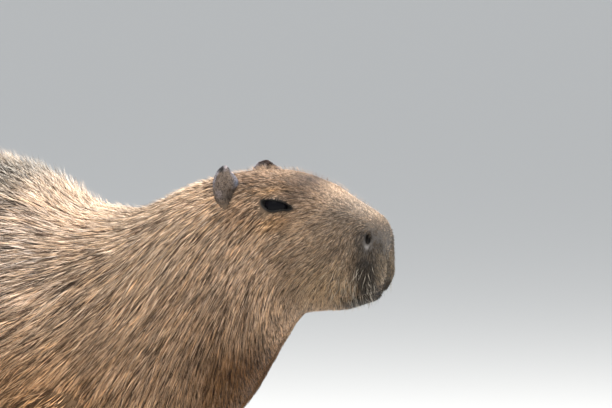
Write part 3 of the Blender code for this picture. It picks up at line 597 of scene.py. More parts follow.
# how far ahead of the leg's end a palm lies, its half length, half width and half height
FORE_PALM = (0.012, 0.036, 0.035, 0.023)
HIND_PALM = (0.022, 0.052, 0.034, 0.024)
LEG_COAT = 0.0028
LIMBS = (("fore", FORELEG, FORE_TOES, FORE_PALM), ("hind", HINDLEG, HIND_TOES, HIND_PALM))
print("toes in front and behind:", len(FORE_TOES), len(HIND_TOES))

# %% A leg's surface
def leg_surface(table, side):
    """A surface of (share down the leg, angle): level ellipses along a curve, less the coat."""
    steps = np.arange(len(table), dtype=float)
    curve = curve_through(steps, table)

    def at(down, angle):
        down = np.asarray(down, float)
        behind, out, height, along, across = np.moveaxis(curve(down * steps[-1]), -1, 0)
        coat = LEG_COAT * (1 - 0.75 * ramp(down, 0.75, 0.95))
        x = NOSE_X - behind + (along - coat) * np.cos(angle)
        y = side * out + (across - coat) * np.sin(angle)
        return np.stack([x, y, height + 0 * x], axis=-1)

    return at


print("a forefoot stands at", np.round(leg_surface(FORELEG, -1)(1.0, 0.0), 3))

# %% Tubes, balls and flat soles
TOE_SPREAD, KNUCKLE_SHARE = 0.55, 0.60
TOE_ROOT, KNUCKLE_HEIGHT, TIP_HEIGHT = (0.002, 0.0, 0.022), 0.0175, 0.0100
SOLE_LEVEL, SOLE_GIVE = 0.0004, 0.02


def tube_grid(points, radii, cols, flat):
    """Rings round a path: each stands square to it, its height squeezed by flat."""
    points = np.asarray(points, float)
    ahead = unit(np.gradient(points, axis=0))
    across = unit(np.cross(ahead, np.array([0.0, 0.0, 1.0])))
    over = np.cross(across, ahead)
    turns = full_circle(cols)[:, None]
    ring = np.cos(turns) * across[:, None] + flat * np.sin(turns) * over[:, None]
    return points[:, None] + ring * np.asarray(radii)[:, None, None]


def even_radii(knots, count):
    """Radii at even shares of a path, on straight lines between those given."""
    return np.interp(np.linspace(0, len(knots) - 1, count), np.arange(len(knots)), knots)


def bent_path(knots, count):
    """A smooth path through three or more knots, at even shares."""
    knots = np.asarray(knots, float)
    curve = curve_through(np.arange(len(knots), dtype=float), knots)
    return curve(np.linspace(0, len(knots) - 1, count))


def toe_knots(table, side, toe):
    """Root, knuckle and tip of a toe."""
    offset, reach, turn = toe
    turn = math.radians(side * turn)
    ahead = np.array([math.cos(turn), math.sin(turn), 0.0])
    out = side * (table[-1, 1] + offset * TOE_SPREAD)
    middle = np.array([NOSE_X - table[-1, 0], out, 0.0])
    knuckle = middle + ahead * reach * KNUCKLE_SHARE + np.array([0.0, 0.0, KNUCKLE_HEIGHT])
    tip = middle + ahead * reach + np.array([0.0, 0.0, TIP_HEIGHT])
    return middle + np.array(TOE_ROOT), knuckle, tip


def ball_grid(centre, radii, rows=20, cols=28):
    """Points of an ellipsoid by latitude and longitude, without its poles."""
    lat = np.linspace(-0.5, 0.5, rows + 2)[1:-1, None] * math.pi
    lon = full_circle(cols)[None]
    ways = [np.cos(lat) * np.cos(lon), np.cos(lat) * np.sin(lon), np.sin(lat) + 0 * lon]
    return np.asarray(centre) + np.stack(ways, axis=-1) * np.asarray(radii)


def flat_soled(grid):
    """The same grid with nothing under the level at which the foot bears."""
    grid = grid.copy()
    sole = SOLE_LEVEL + SOLE_GIVE * np.minimum(grid[..., 2], 0.0)
    grid[..., 2] = np.maximum(grid[..., 2], sole)
    return grid


print("tip of a middle toe at", np.round(toe_knots(FORELEG, -1, FORE_TOES[1])[2], 3))

# %% Legs, feet and their toes
TOE_RADII = (0.0128, 0.0124, 0.0116, 0.0106, 0.0090, 0.0066)
PALM_HEIGHT = 0.016
limb_pieces = []
for side in SIDES:
    for _, table, toes, palm in LIMBS:
        down = np.linspace(0, 1, 56)[:, None]
        limb_pieces.append(skin_grid("leg", leg_surface(table, side)(down, angles[None, ::6])))
        ahead, *radii = palm
        centre = (NOSE_X - table[-1, 0] + ahead, side * table[-1, 1], PALM_HEIGHT)
        limb_pieces.append(skin_grid("palm", flat_soled(ball_grid(centre, radii))))
        for toe in toes:
            path = bent_path(toe_knots(table, side, toe), 24)
            tube = tube_grid(path, even_radii(TOE_RADII, 24), 20, 0.92)
            limb_pieces.append(skin_grid("toe", flat_soled(tube)))
combine(skin, "UNION", limb_pieces)
print("with legs and feet:", len(skin.data.polygons), "triangles")

# %% [markdown]
# ## Ears
# Short and upright, set high and far back. The near one is a narrow leaf, and the far one is
# turned to the back and held open, so that it shows broad and blunt from here. The rings of a
# leaf narrow to its tip. It is bent to a shallow cup whose hollow side is turned to the head,
# its front rim rolls over, and its wall is thick at the root.

# %% Ears
EAR_BEHIND, EAR_SIDE, EAR_BASE_HEIGHT = 0.1700, 0.0655, 0.4945
EAR_LENGTH, EAR_CUP, EAR_WALL = 0.0415, 0.0100, 0.0046
EAR_ROLL, EAR_FOLD, EAR_ROOT = 0.0075, 0.0007, 0.36
# share up the ear, reach of its front edge and of its back edge
EAR_SHAPE = np.array((
    (0.00, 0.0075, 0.0125),
    (0.30, 0.0090, 0.0142),
    (0.52, 0.0138, 0.0138),
    (0.68, 0.0112, 0.0112),
    (0.82, 0.0062, 0.0084),
    (0.93, 0.0030, 0.0044),
    (1.00, 0.0008, 0.0010),
))
ear_outline = curve_through(EAR_SHAPE[:, 0], EAR_SHAPE[:, 1:])
# for the right ear (-1) and the left (1): its turn, bluntness, breadth, dark tip and brightness;
# the brightness is painted light, which makes the far ear lighter where it lies in shade
EAR_TURN = {-1: math.radians(80), 1: math.radians(112)}
EAR_BLUNT = {-1: 1.0, 1: 2.0}
EAR_SPREAD = {-1: 1.0, 1: 1.12}
EAR_DARK_TIP = {-1: 0.92, 1: 0.0}
EAR_PAINTED_LIGHT = {-1: 0.92, 1: 1.2}
print("ears:", round(1000 * EAR_LENGTH, 1), "mm long")

# %% An ear's surface
def ear_axes(side):
    """Root of an ear and its three ways: up it, towards its front edge, out of its hollow side."""
    base = np.array([NOSE_X - EAR_BEHIND, side * EAR_SIDE, EAR_BASE_HEIGHT])
    up = unit(np.array([0.04, side * 0.10, 1.0]))
    away = np.array([math.cos(EAR_TURN[side]), side * math.sin(EAR_TURN[side]), 0.0])
    ahead = unit(np.cross(up, away)) * -side
    return base, up, ahead, np.cross(ahead, up) * side


def ear_edges(side, share):
    """How far an ear reaches to its front edge and to its back edge, at a share up it."""
    reach = ear_outline(np.clip(share, 0, 1) ** EAR_BLUNT[side]) * EAR_SPREAD[side]
    return np.moveaxis(reach, -1, 0)


def ear_surface(side):
    """A surface of (share up the ear, angle round its wall): a cupped leaf with thick rims."""
    base, up, ahead, hollow = ear_axes(side)

    def at(share, angle):
        share, angle = np.broadcast_arrays(np.asarray(share, float), -side * np.asarray(angle))
        t = (1 + EAR_ROOT) * share - EAR_ROOT
        rise = np.maximum(t, 0.0)
        front, back = ear_edges(side, rise)
        across = np.cos(angle)
        half = np.where(across > 0, front, back) * (1 + 0.5 * np.minimum(t, 0.0)) + 0.0006
        thick = EAR_WALL * (1.2 - 0.72 * rise) * (0.55 + 0.75 * np.abs(across) ** 5)
        cup = EAR_CUP * (1 - 0.45 * rise) * (across**2 - 0.5)
        roll = np.where(t > 0, EAR_ROLL * np.maximum(across - 0.35, 0.0), 0.0)
        fold = EAR_FOLD * np.sin(26 * rise + 2.0 * across)
        fold = fold * np.maximum(np.sin(angle), 0.0) * (1 - across**2)
        out = (cup + roll + np.sin(angle) * thick / 2 + fold)[..., None]
        beside = (across * half + 0.0010 - 0.003 * rise)[..., None]
        return base + up * (t * EAR_LENGTH)[..., None] + ahead * beside + hollow * out

    return at


# %% Both ears
ear_share = np.linspace(0, 1, 46)[:, None] ** 0.9
ears = [skin_grid("ear", ear_surface(side)(ear_share, angles[None, ::5])) for side in SIDES]
combine(skin, "UNION", ears)
print("with ears:", len(skin.data.polygons), "triangles")

# %% [markdown]
# ## Eyes and their lids
# The eyeball is a separate glossy ball. The lids are a ring of flesh round a pointed opening:
# one profile, out of the socket, over the lid's edge and down on to the face, is carried round
# the almond. The heavy upper lid lies almost straight, which gives the calm half-closed look.
# The nostrils are slanted slits, cut as leant ellipsoids, and the tail is only a stub.

# %% Depth of the flesh round an eye
def flesh_depth(centre, out, offsets):
    """How far out along the eye's axis the face lies, found by halving, for many offsets."""
    near, far = np.full(offsets.shape[:-1], -0.02), np.full(offsets.shape[:-1], 0.05)
    for _ in range(26):
        middle = (near + far) / 2
        points = centre + offsets + out * middle[..., None]
        inside = np.abs(points[..., 1]) < half_width_at(NOSE_X - points[..., 0], points[..., 2])
        near, far = np.where(inside, middle, near), np.where(inside, far, middle)
    return near


centre, out, _, _ = EYES[0]
over_middle = float(flesh_depth(centre, out, 0 * out))
print("flesh over the middle of an eye:", round(1000 * over_middle, 1), "mm")

# %% Eyelids
BALL_ENDS, BALL_GONE = 0.0105, 0.0140
# share of the almond's size, metres further out, height over the ball and over the face
LID_PROFILE = (
    (1.02, 0.0000, -0.0045, None),
    (1.00, 0.0000, 0.0004, None),
    (1.00, 0.0002, 0.0011, None),
    (1.00, 0.0008, 0.0017, 0.0007),
    (1.00, 0.0016, 0.0019, 0.0010),
    (1.01, 0.0026, 0.0017, 0.0008),
    (1.02, 0.0038, 0.0011, 0.0003),
    (1.03, 0.0050, 0.0004, -0.0006),
    (1.03, 0.0050, -0.0030, -0.0040),
    (1.02, 0.0020, -0.0050, -0.0060),
)


def lid_ring(side, cols=96):
    """Rings from inside the socket, over the lid's edge and its swell, down into the face."""
    centre, out, ahead, upward = eye_axes(side)
    x, y = almond(full_circle(cols))
    radial = unit(np.stack([x / OPENING_LENGTH, y / OPENING_HEIGHT * 1.6], axis=-1))
    rows = []
    for scale, wider, over_ball, over_face in LID_PROFILE:
        px, py = x * scale + radial[:, 0] * wider, y * scale + radial[:, 1] * wider
        offsets = ahead * px[:, None] + upward * py[:, None]
        face = flesh_depth(centre, out, offsets)
        ball = np.sqrt(np.maximum(EYE_RADIUS**2 - px**2 - py**2, 0.0))
        if over_face is None:
            depth = np.where(ball > 0, ball + over_ball, face)
            beyond_ball = np.minimum(face + over_ball, face)
        else:
            depth = np.maximum(ball + over_ball, face + over_face)
            beyond_ball = face + over_face
        covered = ramp(np.hypot(px, py), BALL_ENDS, BALL_GONE)
        depth = depth * (1 - covered) + beyond_ball * covered
        rows.append(centre + offsets + out * depth[:, None])
    return make_mesh("lid", np.array(rows), grid_triangles(len(rows), cols, ring=True))


print("rings of a lid:", len(LID_PROFILE))

# %% What is cut out of the face
NOSTRIL_SIZE = (0.0026, 0.0100, 0.0078)
NOSTRIL_LEAN, NOSTRIL_TURN = 22, 35
PLUG_DEPTHS = (0.0065, 0.030)


def opening_plug(side, cols=64):
    """What is cut from the face between the lids: the almond as a straight prism."""
    centre, out, ahead, upward = eye_axes(side)
    x, y = almond(full_circle(cols))
    outline = centre + ahead * x[:, None] + upward * y[:, None]
    return skin_grid("plug", np.array([outline + out * depth for depth in PLUG_DEPTHS]))


def nostril_hole(side):
    """An ellipsoid leant and turned to a nostril's slant: its points times both rotations."""
    lean, turn = math.radians(side * NOSTRIL_LEAN), math.radians(-side * NOSTRIL_TURN)
    c, s = math.cos(lean), math.sin(lean)
    about_x = np.array([[1, 0, 0], [0, c, -s], [0, s, c]])
    c, s = math.cos(turn), math.sin(turn)
    about_z = np.array([[c, -s, 0], [s, c, 0], [0, 0, 1]])
    flank = float(half_width_at(NOSTRIL[0], NOSTRIL[2]))
    place = np.array([NOSE_X - NOSTRIL[0], side * flank, NOSTRIL[2]])
    hole = ball_grid((0, 0, 0), NOSTRIL_SIZE)
    return skin_grid("nostril", hole @ (about_x @ about_z).T + place)


cutters = [make(side) for side in SIDES for make in (opening_plug, nostril_hole)]
print("openings to cut:", len(cutters))

# %% Openings, lids and the tail's stub
BALL_GAP = 0.0002
TAIL_PLACE, TAIL_SIZE = (NOSE_X - 1.043, 0, 0.418), (0.014, 0.011, 0.013)
combine(skin, "DIFFERENCE", cutters)
combine(skin, "UNION", [lid_ring(side) for side in SIDES])
socket = (EYE_RADIUS + BALL_GAP,) * 3
balls = [skin_grid("ball", ball_grid(centre, socket, 40, 56)) for centre, *_ in EYES]
combine(skin, "DIFFERENCE", balls)
combine(skin, "UNION", [skin_grid("tail", ball_grid(TAIL_PLACE, TAIL_SIZE))])
skin.data.shade_smooth()
print("skin:", len(skin.data.polygons), "faces")

# %% [markdown]
# ## Colours of the coat
# Each bristle is banded, and together they give a warm tan with orange, near-black and straw
# streaks. The tint shifts over the body: greyer on the muzzle and along the spine, pale on the
# neck and shoulder, near black at the chin and deep brown at the throat. Both of these are
# painted darker still as shade under the jaw and the head, and a pale band down the front of
# the nose is painted light on its lit edge. Every shift is a soft bell in place, mixed in one
# after the other, the same for the skin and the coat.

# %% Tints
TAN = np.array((0.600, 0.418, 0.278))
STRONGEST = 0.97
# behind, height, reach behind, reach up, tint there, strength
TINTS = (
    (0.030, 0.440, 0.050, 0.050, (0.300, 0.235, 0.175), 0.70),
    (0.050, 0.400, 0.045, 0.030, (0.600, 0.415, 0.235), 0.62),
    (0.011, 0.414, 0.015, 0.036, (0.046, 0.036, 0.027), 1.25),
    (0.008, 0.452, 0.014, 0.020, (0.085, 0.074, 0.064), 0.90),
    # a narrow pale band on the front face of the nose: painted light on its lit edge
    (0.000, 0.412, 0.0020, 0.030, (0.340, 0.280, 0.200), 0.55),
    # near black at the chin: the lip's own dark colour, darkened further as painted shade under the
    # jaw
    (0.016, 0.374, 0.028, 0.015, (0.012, 0.009, 0.007), 1.80),
    (0.140, 0.430, 0.060, 0.050, (0.420, 0.300, 0.212), 0.60),
    # deep brown at the throat: partly its own colour, partly painted shade under the head
    (0.165, 0.290, 0.058, 0.080, (0.090, 0.034, 0.004), 1.15),
    (0.080, 0.522, 0.012, 0.010, (0.060, 0.044, 0.036), 0.85),
    (0.095, 0.510, 0.036, 0.022, (0.088, 0.059, 0.049), 0.86),
    (0.035, 0.485, 0.030, 0.020, (0.260, 0.215, 0.178), 0.72),
    (0.118, 0.509, 0.022, 0.006, (0.560, 0.360, 0.200), 0.80),
    (0.112, 0.474, 0.022, 0.009, (0.450, 0.262, 0.125), 0.82),
    (0.146, 0.490, 0.018, 0.016, (0.280, 0.160, 0.085), 0.75),
    (0.150, 0.522, 0.045, 0.014, (0.225, 0.147, 0.100), 0.80),
    (0.300, 0.490, 0.090, 0.042, (0.880, 0.680, 0.510), 0.88),
    (0.460, 0.430, 0.110, 0.070, (0.840, 0.700, 0.600), 0.85),
    (0.425, 0.512, 0.056, 0.030, (0.250, 0.240, 0.215), 0.88),
    (0.500, 0.560, 0.150, 0.050, (0.210, 0.190, 0.165), 0.90),
    (0.400, 0.270, 0.160, 0.090, (0.590, 0.320, 0.140), 0.75),
    (0.800, 0.400, 0.240, 0.140, (0.440, 0.300, 0.200), 0.60),
    (0.240, 0.330, 0.060, 0.060, (0.290, 0.195, 0.125), 0.55),
    (0.700, 0.200, 0.250, 0.060, (0.360, 0.260, 0.175), 0.60),
    (0.110, 0.452, 0.0022, 0.0018, (0.020, 0.016, 0.014), 0.90),
)
LEG_TINT = (0.150, 0.095, 0.058)


def mixed(colour, towards, share):
    """Colours moved towards another one, by a share for each place."""
    return colour + (np.array(towards) - colour) * share[..., None]


def tint_at(points):
    """Colour by place: tan mixed towards each tint by its bell of distance."""
    behind, up = NOSE_X - points[..., 0], points[..., 2]
    colour = np.broadcast_to(TAN, points.shape)
    for place, level, along, high, tint, strength in TINTS:
        share = strength * bell(behind, up, place, level, along, high)
        colour = mixed(colour, tint, np.minimum(share, STRONGEST))
    return mixed(colour, LEG_TINT, 0.75 * (1 - ramp(up, 0.060, 0.200)))


def paint(obj, colours):
    """Stores a colour for every vertex, as linear light."""
    layer = obj.data.color_attributes.new("tint", "FLOAT_COLOR", "POINT")
    rgba = np.ones((len(colours), 4), np.float32)
    rgba[:, :3] = colours
    layer.data.foreach_set("color", rgba.ravel())


print("soft shifts of tint:", len(TINTS))

# %% Tones of the ears
# pale blue-grey rims: sky light painted on the rolled edges and the top of each ear
EAR_LIT_RIM, EAR_NOTCH = (0.340, 0.325, 0.370), 0.92
# towards the front edge, share up, reach along, reach up, colour there, strength
EAR_SPOTS = (
    (0.0125, 0.52, 0.0035, 0.09, (0.085, 0.100, 0.135), 0.75),
    (-0.0075, 0.22, 0.0045, 0.12, (0.360, 0.310, 0.320), 0.60),
)
EAR_SKIN, EAR_HAIR = np.array((0.170, 0.130, 0.105)), np.array((0.270, 0.205, 0.160))


def ear_tone(side, level, beside, plain):
    """Colour of an ear: pale blue-grey rims and top of painted sky light, a dark notch behind the
    tip, painted shade low at its root by its opening, and a painted brightness for each ear.
    """
    front, back = ear_edges(side, level)
    edge = np.where(beside > 0, beside / front, -0.80 * beside / back)
    # the rims and the top are painted pale blue-grey as the sky light on them
    lit_side_rim = 0.90 * ramp(edge, 0.58, 0.90) * ramp(level, 0.30, 0.50)
    tone = mixed(plain, EAR_LIT_RIM, np.maximum(lit_side_rim, 0.45 * ramp(level, 0.82, EAR_NOTCH)))
    for place, height, along, high, colour, strength in EAR_SPOTS:
        tone = mixed(tone, colour, strength * bell(beside, level, place, height, along, high))
    notch = ramp(level, 0.80, EAR_NOTCH) * ramp(beside, 0.0008, -0.0022)
    tone = tone * (1 - EAR_DARK_TIP[side] * notch)[:, None]
    # darker low on the hollow side by the root: painted shade at the ear's opening
    root = bell(beside, level, 0.003, 0.20, 0.006, 0.22)
    # each ear's brightness is painted light: the far ear is painted lighter where it lies in shade
    return tone * ((1 - 0.55 * root) * EAR_PAINTED_LIGHT[side])[:, None]


def along_ear(points, side):
    """Share up an ear, metres towards its front edge and metres out of its hollow side."""
    base, *ways = ear_axes(side)
    level, beside, out = ((points - base) @ way for way in ways)
    return level / EAR_LENGTH, beside, out


print("spots of colour on an ear:", len(EAR_SPOTS))

# %% Distances on the face
def beyond_almond(points, side):
    """How far a place lies from the opening between the lids, in its plane: negative inside."""
    centre, out, ahead, upward = eye_axes(side)
    offset = points - centre
    apart = np.ones(points.shape[:-1])
    near = ((offset**2).sum(axis=-1) < 0.035**2) & (offset @ out > -0.004)
    x, y = offset[near] @ ahead, offset[near] @ upward
    edge_x, edge_y = almond(full_circle(96))
    gap = np.hypot(x[:, None] - edge_x, y[:, None] - edge_y).min(axis=1)
    turn = np.sign(y) * np.arccos(np.clip(2 * x / OPENING_LENGTH, -1, 1))
    inside = (np.abs(y) < np.abs(almond(turn)[1])) & (np.abs(x) < OPENING_LENGTH / 2)
    apart[near] = np.where(inside, -gap, gap)
    return apart


def from_nostril(points, side, units):
    """Squared distance from the middle of a nostril, with a unit for each way."""
    middle = np.array([NOSE_X - NOSTRIL[0], side * NOSTRIL[1], NOSTRIL[2]])
    return (((points - middle) / units) ** 2).sum(axis=-1)


print("opening between the lids:", round(1000 * OPENING_LENGTH, 1), "mm long")

# %% Colours of the skin
def mesh_points(obj):
    """All vertex places of a mesh as one array."""
    points = np.empty(3 * len(obj.data.vertices))
    obj.data.vertices.foreach_get("co", points)
    return points.reshape(-1, 3)


# near black: the dark skin of lids and lips, and painted shade in the eyes' corners, the nostrils
# and the lips' crease
DARK_SKIN_AND_SHADE = np.array((0.007, 0.006, 0.005))
NOSE_SKIN, PALE_SPOT = (0.062, 0.055, 0.050), (0.200, 0.190, 0.185)
FOOT_SKIN = (0.045, 0.034, 0.028)
SHADE_UNDER_COAT = 0.20
places = mesh_points(skin)
behind, side_out, up = NOSE_X - places[:, 0], np.abs(places[:, 1]), places[:, 2]
under_coat = tint_at(places) * SHADE_UNDER_COAT
under_coat = mixed(under_coat, NOSE_SKIN, 0.85 * bell(behind, up, 0.004, 0.452, 0.018, 0.018))
spot = bell(behind, up, 0.0095, 0.4445, 0.0035, 0.0035)
under_coat = mixed(under_coat, PALE_SPOT, 0.60 * spot)
under_coat = mixed(under_coat, FOOT_SKIN, 1 - ramp(up, 0.030, 0.075))
for side in SIDES:
    # the lids' margins are dark skin, and the hollow corners inside the opening are painted shade
    rim = 1 - ramp(beyond_almond(places, side), 0.0020, 0.0034)
    under_coat = mixed(under_coat, DARK_SKIN_AND_SHADE, rim)
    # the inside of each nostril is painted near black: painted shade in the hole
    nostril_inside_shade = 1 - ramp(from_nostril(places, side, (0.0038, 0.0100, 0.0080)), 0.55, 1.10)
    under_coat = mixed(under_coat, DARK_SKIN_AND_SHADE * 0.3, nostril_inside_shade)
    level, beside, out = along_ear(places, side)
    on_ear = (np.abs(beside) < 0.018) & (np.abs(out) < 0.009) & (level > 0.0)
    on_ear &= up > EAR_BASE_HEIGHT + 0.25 * (0.065 - side_out)
    tone = ear_tone(side, level, beside, EAR_SKIN)
    under_coat = mixed(under_coat, tone, ramp(level, 0.0, 0.14) * on_ear)
# along the seam between the lips: dark lip skin, and painted shade in the crease
lip_seam_skin_and_shade = (np.abs(up - mouth_height(behind, side_out)) < 0.0022) & (behind < MOUTH_CORNER)
under_coat[lip_seam_skin_and_shade] = DARK_SKIN_AND_SHADE * 1.5
paint(skin, under_coat)
print("painted", len(places), "vertices")

# %% [markdown]
# ## Growing hairs
# A hair is rooted at a place on a surface and walks over it along the lie of the coat, while
# it rises a little from it. So its path is a walk in the surface's two numbers, not a curve in
# space, and it can't leave the body. Every hair is a closed three-sided blade of only four or
# six triangles, because there are so many of them.

# %% Hairs
PATCH = 0.003
FLATNESS = 0.8
# corners of a blade: a ring of three, then its tip and, where it is long, its root
SHORT_BLADE = ((0, 1, 3), (1, 2, 3), (2, 0, 3), (0, 2, 1))
LONG_BLADE = ((0, 1, 3), (1, 2, 3), (2, 0, 3), (1, 0, 4), (2, 1, 4), (0, 2, 4))
CORNER_SHIFTS = ((0, 0), (0, 1), (0, 2), (2, 1), (1, 2))


def walk(surface, u, v, heading, length, steps=4):
    """Walks from (u, v) over a surface: heading 0 follows u, a quarter turn follows v."""
    track = [(u, v)]
    for k in range(steps):
        _, _, along_u, along_v = frame_on(surface, u, v)
        stride = length / steps
        turn = heading(u, v, (k + 0.5) / steps)
        u = u + stride * np.cos(turn) / np.maximum(np.linalg.norm(along_u, axis=-1), 1e-3)
        v = v + stride * np.sin(turn) / np.maximum(np.linalg.norm(along_v, axis=-1), 1e-3)
        track.append((u, v))
    return track


def hair_points(surface, track, rise, root, bow):
    """Places and normals at root, middle and tip; height is -root + (rise + root) share^bow."""
    places, normals = [], []
    for share, (u, v) in zip((0.0, 0.5, 1.0), track[::2]):
        point, normal, _, _ = frame_on(surface, u, v)
        height = -root + (rise + root) * share**bow
        places.append(point + normal * height[..., None])
        normals.append(normal)
    return np.stack(places, axis=1), np.stack(normals, axis=1)


def hair_mesh(name, places, normals, width, colours, uv):
    """Closed blades: long ones widest in the middle, short ones at the root.

    A long hair has three colours and is a ring of three corners between two points. A short one
    has two and is a ring and a tip, so its middle is left out.
    """
    short = colours.shape[1] == 2
    if short:
        places, normals = places[:, ::2], normals[:, ::2]
    blade, ring = (SHORT_BLADE, 0) if short else (LONG_BLADE, 1)
    middle, half = places[:, ring], (width / 2)[:, None]
    across = unit(np.cross(unit(places[:, -1] - places[:, 0]), normals[:, ring])) * half
    over = normals[:, ring] * half * FLATNESS
    ends = [places[:, -1]] if short else [places[:, -1], places[:, 0]]
    points = np.stack([middle + across, middle + over, middle - across] + ends, axis=1)
    corners = len(points[0])
    first = (np.arange(len(places)) * corners)[:, None, None]
    obj = make_mesh(name, points, first + np.array(blade)[None])
    order = [0, 0, 0, 1] if short else [1, 1, 1, 2, 0]
    paint(obj, colours[:, order].reshape(-1, 3))
    corner_uv = uv[:, None] + np.array(CORNER_SHIFTS[:corners])[None] * PATCH / 2
    index = np.empty(3 * len(obj.data.polygons), int)
    obj.data.loops.foreach_get("vertex_index", index)
    layer = obj.data.uv_layers.new(name="OFBake")
    layer.data.foreach_set("uv", corner_uv.reshape(-1, 2)[index].astype(np.float32).ravel())
    return obj


def coat_uv(share, angle, width=0.986):
    """Where hairs lie in the piece's own square: share along the surface, angle round it."""
    uv = np.stack([share, angle / (2 * math.pi) + 0.5], axis=-1)
    return np.clip(0.004 + uv * width, 0.0, 0.993)


print("triangles in a long hair:", len(LONG_BLADE), "and in a short one:", len(SHORT_BLADE))

# %% Bands of colour
# A lock's tone by a random number, how its hue shifts where it is warm, and rare single hairs
TONE_DRAWS = (0.0, 0.17, 0.23, 0.68, 0.78, 1.0)
TONES = (0.14, 0.24, 0.66, 1.05, 1.35, 1.60)
WARM_SHIFT, WARM_MIDDLE = np.array((0.22, -0.02, -0.34)), 0.42
DARK_UNDER, DARK_SINGLE = 0.15, np.array((0.16, 0.13, 0.12))
PALE_OVER, PALE_SINGLE, PALEST = 0.88, 1.40, 0.80
ROOT_SHADE, SHORT_ROOT_SHADE = 0.28, 0.55
DARK_TIPS, DARK_TIP, PALE_TIP = 0.22, 0.45, 1.22


def banded(draw, tint, lock, short):
    """Colours from root to tip of each hair: a dark root, its lock's tone, a pale or dark tip."""
    count, locks = len(tint), lock.max() + 1
    tone = np.interp(draw.random(locks), TONE_DRAWS, TONES)[lock, None]
    warm = (draw.random(locks)[lock] * 0.6 + draw.random(count) * 0.4)[:, None]
    colour = tint * tone * (1 + WARM_SHIFT * (warm - WARM_MIDDLE))
    single = draw.random((count, 1))
    colour = np.where(single < DARK_UNDER, tint * DARK_SINGLE, colour)
    paler = np.minimum(0.04, tint[:, 1:2] * 0.5)
    colour = np.where(single > PALE_OVER, tint * PALE_SINGLE + paler, colour)
    colour = colour * draw.uniform(0.75, 1.25, (count, 1))
    colour = colour * np.minimum(1.0, PALEST / colour.max(axis=1, keepdims=True))
    tip = colour * np.where(draw.random((count, 1)) < DARK_TIPS, DARK_TIP, PALE_TIP)
    bands = [colour * SHORT_ROOT_SHADE, tip] if short else [colour * ROOT_SHADE, colour, tip]
    return np.clip(np.stack(bands, axis=1), 0.0, 0.95)


print("tones of a lock, from", min(TONES), "to", max(TONES), "times its tint")

# %% [markdown]
# ## Where the coat grows
# Roots are scattered evenly by area: a random place in (u, v) is kept with a chance equal to
# the area that the surface has there. Five hairs at a time make a lock: they share a tone and
# lean in to one line, as wet bristles do. The lie runs back along the spine and steeply down
# the throat. The hairs shorten towards the nose, and some stand up on the crown and shoulders.

# %% Lie and length of the body's coat
PITCH_PLACES = (0.00, 0.03, 0.06, 0.10, 0.15, 0.20, 0.26, 0.34, 0.48, 0.80, 1.00)
PITCH_DEGREES = (84, 74, 46, 36, 40, 44, 42, 34, 22, 24, 44)
STEEPEST = 84
HAIRS_IN_LOCK = 5
FULL_TURN = (-math.pi, math.pi)
# shares of the hairs on top that stand, by distance behind the nose
UPRIGHT_PLACES = (0.04, 0.08, 0.18, 0.22, 0.28, 0.38, 0.44)
UPRIGHT_SHARES = (0.06, 0.06, 0.06, 0.14, 0.05, 0.10, 0.40)
# behind the nose, hair's length, its width, how high its tip lies, how high it stands, lock's width
HAIR_SIZES = np.array((
    (0.00, 0.0052, 0.00060, 0.0018, 0.0022, 0.0004),
    (0.03, 0.0074, 0.00062, 0.0021, 0.0060, 0.0004),
    (0.07, 0.0115, 0.00062, 0.0023, 0.0072, 0.0005),
    (0.12, 0.0155, 0.00064, 0.0026, 0.0072, 0.0005),
    (0.16, 0.0210, 0.00070, 0.0034, 0.0072, 0.0006),
    (0.20, 0.0280, 0.00078, 0.0046, 0.0065, 0.0007),
    (0.28, 0.0380, 0.00090, 0.0060, 0.0060, 0.0009),
    (0.40, 0.0470, 0.00105, 0.0072, 0.0120, 0.0010),
    (0.52, 0.0520, 0.00118, 0.0080, 0.0150, 0.0012),
    (0.70, 0.0520, 0.00128, 0.0084, 0.0100, 0.0013),
    (1.05, 0.0440, 0.00128, 0.0084, 0.0060, 0.0013),
))
hair_size = curve_through(HAIR_SIZES[:, 0], HAIR_SIZES[:, 1:])


def body_heading(swirl):
    """Pitch of the lie down the flank by distance behind the nose, level along the back."""

    def at(run, angle, share):
        behind = behind_at(run)
        steep = np.interp(behind, PITCH_PLACES, PITCH_DEGREES)
        under = ramp(-np.sin(angle), 0.0, 0.8) * (1 - ramp(behind, 0.30, 0.50))
        steep = np.radians(steep + (STEEPEST - steep) * 0.45 * under)
        flank = np.clip((1 - np.sin(angle)) / 0.75, 0.0, 1.0) ** 0.8
        side = np.where(np.cos(angle) >= 0, 1.0, -1.0)
        return -side * steep * flank + swirl * (0.4 + 0.6 * share)

    return at


def scatter(draw, surface, count, u_range, v_range):
    """Random (u, v) on a surface, evenly by area, by keeping a share of the draws."""
    found_u, found_v, have = [], [], 0
    peak = 0.0
    while have < count:
        u = draw.uniform(*u_range, 4 * count)
        v = draw.uniform(*v_range, 4 * count)
        _, _, along_u, along_v = frame_on(surface, u, v)
        area = np.linalg.norm(np.cross(along_u, along_v), axis=-1)
        peak = max(peak, np.quantile(area, 0.995))
        keep = draw.random(4 * count) < area / peak
        found_u.append(u[keep])
        found_v.append(v[keep])
        have += int(keep.sum())
    return np.concatenate(found_u)[:count], np.concatenate(found_v)[:count]


